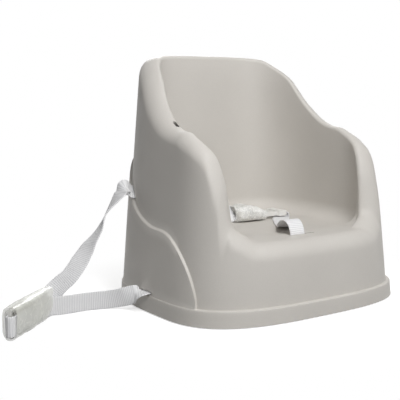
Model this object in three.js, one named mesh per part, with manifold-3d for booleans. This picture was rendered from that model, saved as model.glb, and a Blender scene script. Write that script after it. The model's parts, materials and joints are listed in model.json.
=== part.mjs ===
// Chair booster seat: one moulded double wall shell on rubber feet, with webbing straps that tie it
// to a chair, a webbing harness on the seat, and a side release buckle for each.
// Millimetres, +Z up, front towards -Y, origin at the middle of the base on the chair.
import * as THREE from 'three';
import { mergeVertices } from 'three/addons/utils/BufferGeometryUtils.js';
import Module from 'manifold-3d';

const wasm = await Module();
wasm.setup();

// Driving dimensions of the shell
const baseWidth = 370;
const baseDepth = 312;
const frontReach = 120;        // from the widest line of the base to its front
const backHeight = 344;
const panHeight = 102;         // seat surface at its front edge
const panDip = 2;              // seat surface is this much lower behind its front edge
const wallThickness = 25.5;    // outer face to inner face at the rim
const rimRoll = 20;            // the rim rolls outwards over this width
const rimRollDrop = 0.84;      // depth of that roll as a share of its width
const skin = 3;                // moulded plastic thickness
const lipRoll = 22;            // how far the front edge rolls over, seen from the side
const lipWidth = 30;           // the front edge's rounded zone, front to back
const tubDraft = 4;            // the tub narrows this much from rim to seat
const panFillet = 24;          // hollow between tub wall and seat
const flangeHeight = 22;
const flangeStep = 5.2;        // flange stands this far out of the wall
const flangeRadius = 1.6;
const sideDraft = 0.113;       // inward lean of the outer walls, mm per mm of height
const frontDraft = 0.02;
const backDraft = 0.02;
const shellLift = 1;           // the feet stand this far below the shell

// Squareness of the plan: 2 is an ellipse, more is squarer
const frontPowerBase = 3.05;
const frontPowerTop = 2.3;
const backPowerBase = 3.2;
const backPowerTop = 3.82;

// The rim, from the front to the back: plan angle in degrees, share of the climb from seat to back
const degree = Math.PI / 180;
const rimCurve = [
  [29, 0], [38, 0.036], [47, 0.081], [56, 0.31], [66, 0.449], [77, 0.506], [89, 0.557],
  [101, 0.7], [113, 0.862], [126, 0.933], [141, 0.983], [160, 0.996], [180, 1],
];
const lipEnd = 33 * degree;        // the rolled front edge turns into the arm's rim from here
const armSpan = 38 * degree;       // over this much

// Thicker panel round the back, edged by an S shaped ledge
const panelStep = 3.5;
const panelStart = 66 * degree;    // plan angle of its front edge
const shoulderHeight = 111;        // height of the ledge where the S turns over
const shoulderReach = 85;          // from the front edge to there
const sweepRise = 30;              // the ledge climbs this far again
const sweepReach = 80;             // in this distance
const panelTop = 203;              // height of the ledge across the back

// Webbing, its slots and its stops
const webWidth = 25;
const webThickness = 1.6;
const slotLength = 28;
const slotWidth = 4;
const crotchSlotLength = 44;
const stopLength = 36;
const stopWidth = 9;
const stopThickness = 4;
const gap = 0.3;                   // between pieces that touch
const curvedStopGap = 2;           // behind the slots where the wall curves round the stop
const upperSlotReach = 178;        // along the ledge, from the panel's front edge
const lowerSlotY = 2;
const lowerSlotZ = flangeHeight + slotWidth / 2 + 1.5;
const crotchSlotSetback = 50;      // from the front of the base
const crotchWebX = -8.5;
const waistSlotY = 52;
const waistSlotHeight = 160;       // middle of the upright slot

// Feet
const footRadius = 10;
const footThickness = 3.4;
const footStemRadius = 3.2;
const footStemLength = 8;
const bossWall = 2.4;
const bossHeight = 16;
const bossLift = 0.6;              // the boss starts this far above the shell's own edge
const frontFootInset = [48, 35];    // from the side and the front of the base
const rearFootInset = [49, 46];     // from the side and the back

// Ribs under the seat
const ribThickness = 2.4;
const ribDepth = 14;
const ribSpacingX = 92;
const ribSpacingY = 94;
const crossRibStep = 1.5;          // the ribs across are this much shallower
const ribSetback = 14;             // clear of the rounded front edge

// Side release buckles, along their own X from the mouth of the socket inwards
const buckleWidth = 34;
const socketLength = 40;
const socketThickness = 11;
const pocketWidth = 27;
const pocketThickness = 7;
const pocketDepth = 27.5;
const pressFrom = 9;               // the side windows where the arms are squeezed
const pressTo = 21;
const prongBodyLength = 15.5;
const prongBodyThickness = 8;
const prongClearance = 0.4;
const prongReach = 25;
const armWidth = 3.2;
const guideWidth = 5;
const barWidth = 5.5;              // bar that the webbing goes round
const strapSlot = 3.4;
const buckleEdge = 0.8;

// Clear film sleeves over the sockets, open at both ends
const film = 0.7;
const filmSides = 24;
const filmSquareness = 5;

// Chair buckle: on the floor beside the seat, standing on edge, prongs in their socket
const chairStart = new THREE.Vector3(-309, 46, 0);
const chairHeading = new THREE.Vector3(-0.745, -0.667, 0).normalize();
const chairSocketFrom = 44;        // from the start point to the strap end of the socket
const chairHeight = 18.8;          // axis above the floor

// Harness buckle: flat on the seat, prongs pulled out of their socket
const seatMouthX = 40.5;
const seatBuckleY = 37;
const seatBuckleLift = 7.7;        // axis above the seat
const seatBucklePull = 27;

// Small bare slot in the top of the left rim
const rimSlotTurn = -93.8 * degree;
const rimSlotLength = 14;
const rimSlotWidth = 5;

// Meshing
const stationCount = 76;
const cornerMargin = 6 * degree;   // finer sections round the front corners reach this far past them
const panShares = [0.4, 0.8];
const panMiddleY = 4;
const panLevel = panHeight - panDip;
const widestY = frontReach - baseDepth / 2;
const backReach = baseDepth - frontReach;
const seatBuckleZ = panLevel + seatBuckleLift;
const crotchSlotY = crotchSlotSetback - baseDepth / 2;

// Joins and cuts

function solid(geometry) {
  const bare = geometry.clone();
  bare.deleteAttribute('normal');
  bare.deleteAttribute('uv');
  const merged = mergeVertices(bare, 1e-4);
  const mesh = new wasm.Mesh({
    numProp: 3,
    vertProperties: new Float32Array(merged.attributes.position.array),
    triVerts: new Uint32Array(merged.index.array),
  });
  mesh.merge();
  return new wasm.Manifold(mesh);
}

function geometryOf(body) {
  const mesh = body.getMesh();
  const geometry = new THREE.BufferGeometry();
  geometry.setAttribute('position', new THREE.BufferAttribute(new Float32Array(mesh.vertProperties), 3));
  geometry.setIndex(new THREE.BufferAttribute(new Uint32Array(mesh.triVerts), 1));
  geometry.computeVertexNormals();
  return geometry;
}

function placed(geometry, x, y, z) {
  return geometry.clone().translate(x, y, z);
}

// Plan outline and rim

// A sine or cosine bent to a superellipse: squareness 2 leaves it as it is

function bent(value, squareness) {
  return Math.sign(value) * Math.pow(Math.abs(value), 2 / squareness);
}

function wallPoint(angle, inset, z) {
  const share = z / backHeight;
  const front = Math.cos(angle) > 0;
  const squareness = front
    ? frontPowerBase + (frontPowerTop - frontPowerBase) * share
    : backPowerBase + (backPowerTop - backPowerBase) * share;
  const half = baseWidth / 2 - flangeStep - sideDraft * z - inset;
  const reach = front
    ? frontReach - flangeStep - frontDraft * z - inset
    : backReach - flangeStep - backDraft * z - inset;
  const x = half * bent(Math.sin(angle), squareness);
  const y = widestY - reach * bent(Math.cos(angle), squareness);
  return new THREE.Vector3(x, y, z);
}

function smooth(x) {
  const t = Math.min(Math.max(x, 0), 1);
  return t * t * (3 - 2 * t);
}

// Slope of the rim curve at each of its points, chosen so that the curve never overshoots them

function rimSlopes() {
  const parts = rimCurve.slice(1).map(([at, share], i) => [at - rimCurve[i][0], share - rimCurve[i][1]]);
  const inner = parts.slice(1).map(([nextRun, nextRise], i) => {
    const [run, rise] = parts[i];
    const near = run + 2 * nextRun;
    const far = nextRun + 2 * run;
    return (near + far) / ((near * run) / rise + (far * nextRun) / nextRise);
  });
  return [0, ...inner, 0];
}

const rimSlope = rimSlopes();

function rimHeight(angle) {
  const turn = Math.abs(angle) / degree;
  const i = Math.max(rimCurve.findLastIndex(([at]) => at <= turn), 0);
  const [from, low] = rimCurve[i];
  const [to, high] = rimCurve[Math.min(i + 1, rimCurve.length - 1)];
  const run = Math.max(to - from, 1e-9);
  const t = Math.min(Math.max((turn - from) / run, 0), 1);
  const bend = t * (1 - t) * run * (rimSlope[i] * (1 - t) - (rimSlope[i + 1] ?? 0) * t);
  return panHeight + (backHeight - panHeight) * (low + (high - low) * smooth(t) + bend);
}

function lipShare(angle) {
  return 1 - smooth((Math.abs(angle) - lipEnd) / armSpan);
}

function crestInset(angle) {
  const share = lipShare(angle);
  return rimRoll * (1 - share) + lipRoll * share;
}

function crestPoint(angle) {
  return wallPoint(angle, crestInset(angle), rimHeight(angle));
}

function rimStretch(angle) {
  const step = 0.5 * degree;
  const ahead = crestPoint(Math.min(angle + step, Math.PI));
  const behind = crestPoint(angle - step);
  const along = Math.hypot(ahead.x - behind.x, ahead.y - behind.y);
  return Math.hypot(1, (ahead.z - behind.z) / along);
}

// Plan angles at even steps of a length measured along a curve

function lengthTable(curve, steps) {
  const table = [0];
  let last = curve(0);
  for (let i = 1; i <= steps; i += 1) {
    const next = curve((Math.PI * i) / steps);
    table.push(table[i - 1] + next.distanceTo(last));
    last = next;
  }
  return table;
}

const tableSteps = 1440;
const rimTable = lengthTable(crestPoint, tableSteps);
const wallTable = lengthTable((angle) => wallPoint(angle, 0, flangeHeight), tableSteps);

function angleAt(table, length) {
  let i = 1;
  while (i < tableSteps && table[i] < length) i += 1;
  const share = (length - table[i - 1]) / (table[i] - table[i - 1]);
  return (Math.PI * (i - 1 + share)) / tableSteps;
}

function lengthAt(table, angle) {
  const place = (Math.abs(angle) / Math.PI) * tableSteps;
  const i = Math.min(Math.floor(place), tableSteps - 1);
  return table[i] + (place - i) * (table[i + 1] - table[i]);
}

const panelStartLength = lengthAt(wallTable, panelStart);

function panelReach(angle) {
  return lengthAt(wallTable, angle) - panelStartLength;
}

// Height of the ledge at a distance from the panel's front edge

function ledgeAt(reach) {
  if (reach < shoulderReach) {
    const u = 1 - Math.max(reach, 0) / shoulderReach;
    return flangeHeight + (shoulderHeight - flangeHeight) * Math.pow(1 - u * u, 0.65);
  }
  const v = (reach - shoulderReach) / sweepReach;
  const climb = sweepRise * v * v;
  const full = panelTop - shoulderHeight;
  return shoulderHeight + full * (1 - Math.exp(-climb / full - Math.pow(climb / full, 3)));
}

function stations() {
  const count = stationCount / 2;
  const total = rimTable[tableSteps];
  const even = Array.from({ length: count + 1 }, (_, i) => angleAt(rimTable, (total * i) / count));
  const half = even.flatMap((angle, i) => {
    const next = even[i + 1] ?? Math.PI;
    const corner = angle > lipEnd - cornerMargin && next < lipEnd + armSpan + cornerMargin;
    return corner ? [angle, (angle + next) / 2] : [angle];
  });
  const edge = [0.6, 3, 8].map((reach) => angleAt(wallTable, panelStartLength + reach));
  const clear = half.filter((angle) => edge.every((other) => Math.abs(angle - other) > 1.5 * degree));
  const sorted = [...clear, ...edge].sort((a, b) => a - b);
  const mirrored = sorted.slice(1, -1).reverse().map((angle) => -angle);
  return [...sorted, ...mirrored];
}

// One section of the shell, from the middle of the seat over the rim to the base and back inside

function arc(count, point) {
  return Array.from({ length: count + 1 }, (_, i) => point(((Math.PI / 2) * i) / count));
}

function shellSection(angle) {
  const rim = rimHeight(angle);
  const share = lipShare(angle);
  const stretch = rimStretch(Math.abs(angle));
  const crest = crestInset(angle);
  const inner = wallThickness * (1 - share) + lipWidth * share;
  const floor = panHeight - panDip * (1 - share);
  const rise = rim - floor;
  const outerDrop = crest * (rimRollDrop * stretch * (1 - share) + share);
  const innerDrop = Math.min((inner - crest) * stretch, 0.45 * rise);
  const hollow = Math.min(panFillet, 0.5 * rise);
  const foot = inner + tubDraft;
  const cover = skin * stretch;
  const firm = Math.min(Math.max((innerDrop - cover) / cover, 0), 1);
  const ledgeFrom = panelReach(angle) > 0;
  const step = ledgeFrom ? panelStep : 0;
  const ledge = Math.max(ledgeAt(panelReach(angle)), flangeHeight + 4);

  const fillet = arc(4, (a) => [foot + panFillet * (1 - Math.cos(a)), floor + hollow * (1 - Math.sin(a))]);
  const roll = arc(3, (a) => [crest + (inner - crest) * Math.sin(a), rim - innerDrop * (1 - Math.cos(a))]);
  const round = arc(4, (a) => [crest - crest * Math.sin(a), rim - outerDrop * (1 - Math.cos(a))]);
  const top = [...fillet.reverse(), ...roll.reverse(), ...round.slice(1)];

  const wallTop = rim - outerDrop;
  const side = [
    [0, (wallTop + ledge) / 2],
    [0, ledge + 1.4],
    [-step + 0.4 * step, ledge],
    [-step, ledge - 1.4],
    [-step, (ledge + flangeHeight) / 2],
    [-step, flangeHeight + 0.8],
    [-(step + flangeStep) / 2, flangeHeight],
    [-flangeStep + flangeRadius, flangeHeight],
    [-flangeStep, flangeHeight - flangeRadius],
    [-flangeStep, shellLift],
  ];
  const insideFlange = flangeHeight - skin + 0.5;
  const insideLedge = ledge - skin - 1.4;
  const inside = [
    [skin - flangeStep, shellLift],
    [skin - flangeStep, insideFlange - 1.5],
    [skin - step, insideFlange],
    [skin - step, (insideFlange + insideLedge) / 2],
    [skin - step, insideLedge],
    [skin, ledge - skin + 1.4],
    [skin, (wallTop + ledge) / 2],
  ];
  const underRound = arc(3, (a) => [
    crest - (crest - skin) * Math.cos(a),
    rim - cover - (outerDrop - cover) * (1 - Math.sin(a)),
  ]);
  const underTop = top.slice(0, fillet.length + roll.length - 1).map((point, i, list) => {
    const before = list[Math.max(i - 1, 0)];
    const after = list[Math.min(i + 1, list.length - 1)];
    const run = Math.abs(after[0] - before[0]);
    const climb = Math.abs(after[1] - before[1]);
    const size = Math.hypot(run, climb);
    const rimPart = i >= fillet.length;
    const plain = [point[0] - (skin * climb) / size, point[1] - ((rimPart ? cover : skin) * run) / size];
    if (!rimPart) return plain;
    const a = Math.asin(Math.min((point[0] - crest) / (inner - crest), 1));
    const neatInset = crest + (inner - crest - skin) * Math.sin(a);
    const neatHeight = rim - cover - (innerDrop - cover) * (1 - Math.cos(a));
    return [plain[0] + (neatInset - plain[0]) * firm, plain[1] + (neatHeight - plain[1]) * firm];
  }).reverse();

  return { top, side, inside, under: [...underRound, ...underTop] };
}

function toSpace(angle, points) {
  return points.map(([inset, z]) => wallPoint(angle, inset, z));
}

function shellGrid() {
  const angles = stations();
  const middle = new THREE.Vector3(0, panMiddleY, 0);
  const rings = angles.map((angle) => {
    const { top, side, inside, under } = shellSection(angle);
    const wall = toSpace(angle, [...top, ...side, ...inside, ...under]);
    const seat = (edge, z, share) => middle.clone().lerp(edge, share).setZ(z);
    const above = panShares.map((share) => seat(wall[0], panLevel, share));
    const below = panShares.map((share) => seat(wall[wall.length - 1], panLevel - skin, share));
    return [...above, ...wall, ...below.reverse()];
  });
  return { rings, start: middle.clone().setZ(panLevel), end: middle.clone().setZ(panLevel - skin) };
}

function closedFromRings({ rings, start, end }) {
  const vertices = [];
  const faces = [];
  const size = rings[0].length;
  rings.forEach((ring) => ring.forEach((point) => vertices.push(point.x, point.y, point.z)));
  const startIndex = vertices.length / 3;
  vertices.push(start.x, start.y, start.z, end.x, end.y, end.z);
  rings.forEach((_, i) => {
    const here = i * size;
    const next = ((i + 1) % rings.length) * size;
    faces.push(startIndex, here, next);
    for (let j = 0; j < size - 1; j += 1) {
      faces.push(here + j, here + j + 1, next + j);
      faces.push(next + j, here + j + 1, next + j + 1);
    }
    faces.push(here + size - 1, startIndex + 1, next + size - 1);
  });
  const geometry = new THREE.BufferGeometry();
  geometry.setAttribute('position', new THREE.BufferAttribute(new Float32Array(vertices), 3));
  geometry.setIndex(faces);
  return geometry;
}

// Shell cuts and additions

function box(width, depth, height, x, y, z) {
  return solid(placed(new THREE.BoxGeometry(width, depth, height), x, y, z));
}

function stadium(length, width) {
  const radius = width / 2;
  const run = length / 2 - radius;
  const shape = new THREE.Shape();
  shape.absarc(run, 0, radius, -Math.PI / 2, Math.PI / 2, false);
  shape.absarc(-run, 0, radius, Math.PI / 2, Math.PI * 1.5, false);
  return shape;
}

function stadiumBlock(length, width, thickness) {
  const geometry = new THREE.ExtrudeGeometry(stadium(length, width), {
    depth: thickness, bevelEnabled: false, curveSegments: 5,
  });
  return geometry.translate(0, 0, -thickness / 2);
}

function ledgeFrame(side) {
  const at = (reach) => {
    const angle = angleAt(wallTable, panelStartLength + reach);
    return wallPoint(angle * side, 0, ledgeAt(reach));
  };
  const angle = angleAt(wallTable, panelStartLength + upperSlotReach);
  const along = at(upperSlotReach + 6).sub(at(upperSlotReach - 6)).normalize();
  const level = wallPoint((angle + degree) * side, 0, ledgeAt(upperSlotReach));
  const flat = level.sub(at(upperSlotReach)).normalize();
  const outward = new THREE.Vector3().crossVectors(flat, along).normalize();
  const middle = at(upperSlotReach);
  if (outward.x * middle.x < 0) outward.negate();
  const across = new THREE.Vector3().crossVectors(outward, along).normalize();
  if (across.z < 0) across.negate();
  middle.addScaledVector(across, slotWidth / 2 + 1.6);
  const turn = new THREE.Matrix4().makeBasis(along, across, new THREE.Vector3().crossVectors(along, across));
  return { middle, along, across, outward, turn };
}

// Each slot is a frame: its middle on the skin's outer face, the way it runs and the way out

function slotFrames() {
  const frames = {};
  [['right', 1], ['left', -1]].forEach(([name, side]) => {
    frames[`upper_${name}`] = ledgeFrame(side);
    const lowerX = sideWallX(lowerSlotY, (angle) => wallPoint(angle, -panelStep, lowerSlotZ));
    frames[`lower_${name}`] = frameOf([side * lowerX, lowerSlotY, lowerSlotZ], [0, 1, 0], [side, 0, 0]);
  });
  const waistX = tubWallX(waistSlotY, waistSlotHeight);
  const waistLean = (tubWallX(waistSlotY + 4, waistSlotHeight) - waistX) / 4;
  frames.waist = frameOf([-waistX, waistSlotY, waistSlotHeight], [0, 0, 1], [1, waistLean, 0]);
  frames.crotch = frameOf([0, crotchSlotY, panHeight], [1, 0, 0], [0, 0, 1]);
  Object.entries(frames).forEach(([name, frame]) => {
    frame.stopGap = name === 'crotch' ? gap : curvedStopGap;
  });
  return frames;
}

// Where a side wall stands at a place front to back, given the wall's point at each plan angle

function sideWallX(y, pointAt) {
  let best = new THREE.Vector3(0, Infinity, 0);
  for (let turn = 60; turn <= 140; turn += 0.25) {
    const point = pointAt(turn * degree);
    if (Math.abs(point.y - y) < Math.abs(best.y - y)) best = point;
  }
  return best.x;
}

function tubWallX(y, z) {
  return sideWallX(y, (angle) => {
    const { top } = shellSection(angle);
    const i = Math.max(top.findIndex(([, height]) => height > z), 1);
    const [lowInset, low] = top[i - 1];
    const [highInset, high] = top[i];
    const inset = lowInset + ((highInset - lowInset) * (z - low)) / (high - low);
    return high > z ? wallPoint(angle, inset, z) : new THREE.Vector3(0, Infinity, 0);
  });
}

function frameOf(middle, along, outward) {
  const run = new THREE.Vector3(...along);
  const out = new THREE.Vector3(...outward).normalize();
  const across = new THREE.Vector3().crossVectors(out, run);
  const turn = new THREE.Matrix4().makeBasis(run, across, out);
  if (turn.determinant() < 0) turn.makeBasis(run, across.negate(), out);
  return { middle: new THREE.Vector3(...middle), along: run, across, outward: out, turn };
}

function rimSlotFrame() {
  const along = crestPoint(rimSlotTurn + degree).sub(crestPoint(rimSlotTurn - degree)).normalize();
  const up = new THREE.Vector3(0, 0, 1).addScaledVector(along, -along.z);
  return frameOf(crestPoint(rimSlotTurn).toArray(), along.toArray(), up.toArray());
}

function slotCutter(frame, length, width, depth) {
  const geometry = stadiumBlock(length, width, depth);
  geometry.applyMatrix4(frame.turn);
  geometry.translate(frame.middle.x, frame.middle.y, frame.middle.z);
  return solid(geometry);
}

function footPlaces() {
  const places = [];
  [['front', frontFootInset, -1], ['rear', rearFootInset, 1]].forEach(([row, [fromSide, fromEnd], end]) => {
    const x = baseWidth / 2 - fromSide;
    const y = end * (baseDepth / 2 - fromEnd);
    places.push([`foot_${row}_right`, x, y], [`foot_${row}_left`, -x, y]);
  });
  return places;
}

function cylinder(radius, height, x, y, z) {
  const geometry = new THREE.CylinderGeometry(radius, radius, height, 28);
  return placed(geometry.rotateX(Math.PI / 2), x, y, z + height / 2);
}

function addRibs(body) {
  const top = panLevel - skin / 2;
  const bottom = panLevel - skin - ribDepth;
  const height = top - bottom;
  const crossHeight = height - crossRibStep;
  const across = wallPoint(Math.PI / 2, 0, panLevel).x * 2 - skin;
  const front = wallPoint(0, ribSetback, bottom).y;
  const back = wallPoint(Math.PI, skin / 2, bottom).y;
  let joined = body;
  [-0.5, 0.5].forEach((side) => {
    const x = side * ribSpacingX;
    joined = joined.add(box(ribThickness, back - front, height, x, (back + front) / 2, top - height / 2));
    joined = joined.add(box(across, ribThickness, crossHeight, 0, side * ribSpacingY, top - crossHeight / 2));
  });
  return joined;
}

function makeShell(frames) {
  let body = addRibs(solid(closedFromRings(shellGrid())));
  footPlaces().forEach(([, x, y]) => {
    body = body.add(solid(cylinder(footRadius + gap + bossWall, bossHeight, x, y, shellLift + bossLift)));
    body = body.subtract(solid(cylinder(footRadius + gap, footThickness + 2 * gap, x, y, -gap)));
    const stemHole = footThickness + footStemLength + 2 * gap;
    body = body.subtract(solid(cylinder(footStemRadius + gap, stemHole, x, y, -gap)));
  });
  Object.entries(frames).forEach(([name, frame]) => {
    const length = name === 'crotch' ? crotchSlotLength : slotLength;
    body = body.subtract(slotCutter(frame, length, slotWidth, 2 * (skin + panelStep)));
  });
  body = body.subtract(slotCutter(rimSlotFrame(), rimSlotLength, rimSlotWidth, 4 * skin));
  return geometryOf(body);
}

// Feet and stops

function makeFoot(x, y) {
  const pad = solid(cylinder(footRadius, footThickness, x, y, 0));
  const stem = solid(cylinder(footStemRadius, footThickness + footStemLength, x, y, 0));
  return geometryOf(pad.add(stem));
}

function makeStop(frame, offset) {
  const geometry = stadiumBlock(stopLength, stopWidth, stopThickness);
  geometry.applyMatrix4(frame.turn);
  const inward = skin + frame.stopGap + stopThickness / 2;
  const middle = frame.middle.clone().addScaledVector(frame.outward, -inward);
  middle.addScaledVector(frame.along, offset);
  return geometry.translate(middle.x, middle.y, middle.z);
}

// Webbing: a flat band along points, each with the direction of the band's width

function webbing(route, steps) {
  const middles = route.map(([point]) => new THREE.Vector3(...point));
  const widths = route.map(([, across]) => new THREE.Vector3(...across));
  const centre = new THREE.CatmullRomCurve3(middles, false, 'centripetal');
  const width = new THREE.CatmullRomCurve3(widths, false, 'catmullrom');
  const rings = [];
  for (let i = 0; i <= steps; i += 1) {
    const t = i / steps;
    const middle = centre.getPoint(t);
    const ahead = centre.getTangent(t);
    const across = width.getPoint(t);
    across.addScaledVector(ahead, -across.dot(ahead)).normalize();
    const face = new THREE.Vector3().crossVectors(ahead, across);
    const corner = (a, b) => middle.clone()
      .addScaledVector(across, (a * webWidth) / 2)
      .addScaledVector(face, (b * webThickness) / 2);
    rings.push([corner(-1, -1), corner(1, -1), corner(1, 1), corner(-1, 1)]);
  }
  return bandFromRings(rings);
}

function bandFromRings(rings) {
  const vertices = rings.flat().flatMap((point) => [point.x, point.y, point.z]);
  const faces = [];
  for (let i = 0; i < rings.length - 1; i += 1) {
    for (let k = 0; k < 4; k += 1) {
      const a = i * 4 + k;
      const b = i * 4 + ((k + 1) % 4);
      faces.push(a, a + 4, b, b, a + 4, b + 4);
    }
  }
  const end = (rings.length - 1) * 4;
  faces.push(0, 1, 2, 0, 2, 3);
  faces.push(end, end + 2, end + 1, end, end + 3, end + 2);
  const geometry = new THREE.BufferGeometry();
  geometry.setAttribute('position', new THREE.BufferAttribute(new Float32Array(vertices), 3));
  geometry.setIndex(faces.reverse());
  return geometry;
}

function chairPoint(along, out, z) {
  const side = new THREE.Vector3(-chairHeading.y, chairHeading.x, 0);
  const point = chairStart.clone().addScaledVector(chairHeading, along).addScaledVector(side, out);
  return [point.x, point.y, z];
}

// The first two middle points of a strap: behind its slot, against the stop, and in front of it

function strapStart(frame) {
  const behind = skin + frame.stopGap - gap;
  return [-behind, 3].map((reach) => frame.middle.clone().addScaledVector(frame.outward, reach).toArray());
}

function upperStrapRoute(frame) {
  const down = frame.along.clone().negate().toArray();
  const [inside, outside] = strapStart(frame);
  return [
    [inside, down],
    [outside, down],
    [[-166, 78, 158], [-0.42, -0.55, -0.72]],
    [[-175, 77, 150], [-0.48, -0.65, -0.58]],
    [[-185, 75, 140], [-0.52, -0.75, -0.4]],
    [[-194, 73, 131], [-0.56, -0.8, -0.2]],
    [[-202, 71, 123], [-0.55, -0.83, 0.05]],
    [[-209, 68, 115], [-0.35, -0.92, 0.2]],
    [[-216, 64, 106], [-0.1, -0.96, 0.25]],
    [[-225, 60, 97], [0.15, -0.95, 0.25]],
    [[-234, 58, 88], [0.4, -0.88, 0.24]],
    [[-242, 56, 78], [0.63, -0.74, 0.2]],
    [[-251, 53.5, 68], [0.75, -0.63, 0.12]],
    [[-259.5, 52, 58], [0.72, -0.68, 0.02]],
    [[-269, 52, 48], [0.65, -0.74, -0.15]],
    [[-281, 55.4, 38], [0.5, -0.7, -0.5]],
    [[-291, 56, 29], [0.25, -0.42, -0.86]],
    [[-300, 52.5, 22.5], [0.06, -0.08, -0.99]],
    [chairPoint(1, 0, 20), [0, 0, -1]],
    [chairPoint(16, 0, 19), [0, 0, -1]],
    [chairPoint(32, 0, chairHeight), [0, 0, -1]],
    [chairPoint(chairSocketFrom - gap, 0, chairHeight), [0, 0, -1]],
  ];
}

function lowerStrapRoute(frame) {
  const end = chairSocketFrom + socketLength + gap + prongBodyLength;
  const [inside, outside] = strapStart(frame);
  return [
    [inside, [0, -1, 0]],
    [outside, [0, -1, 0]],
    [[-190, 5, 24.6], [0.08, -0.98, -0.12]],
    [[-195, 12, 22], [0.3, -0.8, -0.5]],
    [[-202, 20, 18.5], [0.4, -0.55, -0.73]],
    [[-210, 29, 15.5], [0.3, -0.3, -0.9]],
    [[-220, 37, 13.6], [0.12, -0.1, -0.98]],
    [[-234, 43, 13], [0, 0, -1]],
    [[-250.5, 45.6, 12.9], [0, 0, -1]],
    [[-268, 45.4, 13], [0, 0, -1]],
    [[-285, 44.6, 13.6], [0, 0, -1]],
    [chairPoint(-8, 9.4, 14.6), [0, 0, -1]],
    [chairPoint(6, 9.4, 15.6), [0, 0, -1]],
    [chairPoint(24, 9.3, 16.6), [0, 0, -1]],
    [chairPoint(48, 9.2, 17.6), [0, 0, -1]],
    [chairPoint(72, 9.2, chairHeight), [0, 0, -1]],
    [chairPoint(end - 2, 9.2, chairHeight), [0, 0, -1]],
    [chairPoint(end + 4, 9, chairHeight), [0, 0, -1]],
    [chairPoint(end + 8.4, 7.2, chairHeight), [0, 0, -1]],
    [chairPoint(end + 9.6, 4, chairHeight), [0, 0, -1]],
    [chairPoint(end + 8, 1.4, chairHeight), [0, 0, -1]],
    [chairPoint(end + 4.4, 0.1, chairHeight), [0, 0, -1]],
    [chairPoint(end + gap, 0, chairHeight), [0, 0, -1]],
  ];
}

function crotchStrapRoute() {
  const x = crotchWebX;
  const base = panHeight - skin;
  const lie = panLevel + gap + webThickness / 2;
  const end = seatMouthX + seatBucklePull + gap + prongBodyLength;
  return [
    [[x, crotchSlotY, base], [1, 0, 0]],
    [[x, crotchSlotY, base + 5], [1, 0, 0]],
    [[x, crotchSlotY + 1.6, base + 10], [1, 0, 0]],
    [[x + 0.2, crotchSlotY + 4.6, base + 15], [1, 0, 0]],
    [[x + 0.5, crotchSlotY + 9, base + 19], [1, -0.03, 0]],
    [[x + 1, crotchSlotY + 14.5, base + 20.6], [1, -0.06, 0]],
    [[x + 2.5, crotchSlotY + 21, base + 19.4], [0.99, -0.14, 0]],
    [[x + 7, crotchSlotY + 30, base + 14.5], [0.94, -0.34, 0]],
    [[x + 13, crotchSlotY + 38.5, base + 8.8], [0.88, -0.48, 0]],
    [[x + 20.5, crotchSlotY + 47.5, base + 5], [0.83, -0.56, 0]],
    [[21, -46.5, lie + 1.3], [0.82, -0.57, 0]],
    [[31.5, -31.5, lie + 0.4], [0.82, -0.57, 0]],
    [[42, -16.5, lie + 0.1], [0.82, -0.57, 0]],
    [[52.5, -2, lie], [0.8, -0.6, 0]],
    [[62.5, 11, lie], [0.77, -0.64, 0]],
    [[73, 22.5, lie], [0.68, -0.73, 0]],
    [[end, 34, lie], [0.5, -0.86, 0]],
    [[end + 4, 36.4, lie + 0.1], [0.28, -0.96, 0]],
    [[end + 6.6, seatBuckleY, lie + 1.1], [0, -1, 0]],
    [[end + 7.3, seatBuckleY, lie + 3.2], [0, -1, 0]],
    [[end + 6, seatBuckleY, lie + 5.4], [0, -1, 0]],
    [[end + 3, seatBuckleY, seatBuckleZ], [0, -1, 0]],
    [[end + gap, seatBuckleY, seatBuckleZ], [0, -1, 0]],
  ];
}

function waistStrapRoute(frame) {
  const lie = panLevel + gap + webWidth / 2;
  const y = waistSlotY;
  const slotZ = frame.middle.z;
  const [inside, outside] = strapStart(frame);
  return [
    [inside, [0, 0, -1]],
    [outside, [0, 0, -1]],
    [[-119, y - 3, slotZ - 1.4], [0, 0, -1]],
    [[-106, y - 6.5, slotZ - 5], [0, 0, -1]],
    [[-92, y - 10, slotZ - 15], [0, 0, -1]],
    [[-78, y - 13, slotZ - 30.5], [0, 0, -1]],
    [[-63, y - 15, lie + 6], [0, 0, -1]],
    [[-48, y - 15.4, lie + 1.4], [0, 0, -1]],
    [[-36, y - 15.2, lie + 0.6], [0, 0, -1]],
    [[-24, seatBuckleY, lie + 0.2], [0, 0, -1]],
    [[-14, seatBuckleY, lie - 0.4], [0, -0.25, -0.97]],
    [[-8, seatBuckleY, lie - 1.6], [0, -0.62, -0.78]],
    [[-5, seatBuckleY, lie - 3.6], [0, -0.87, -0.5]],
    [[-2.4, seatBuckleY, seatBuckleZ + 0.1], [0, -0.97, -0.2]],
    [[seatMouthX - socketLength - gap, seatBuckleY, seatBuckleZ], [0, -1, 0]],
  ];
}

// Side release buckle

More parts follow.
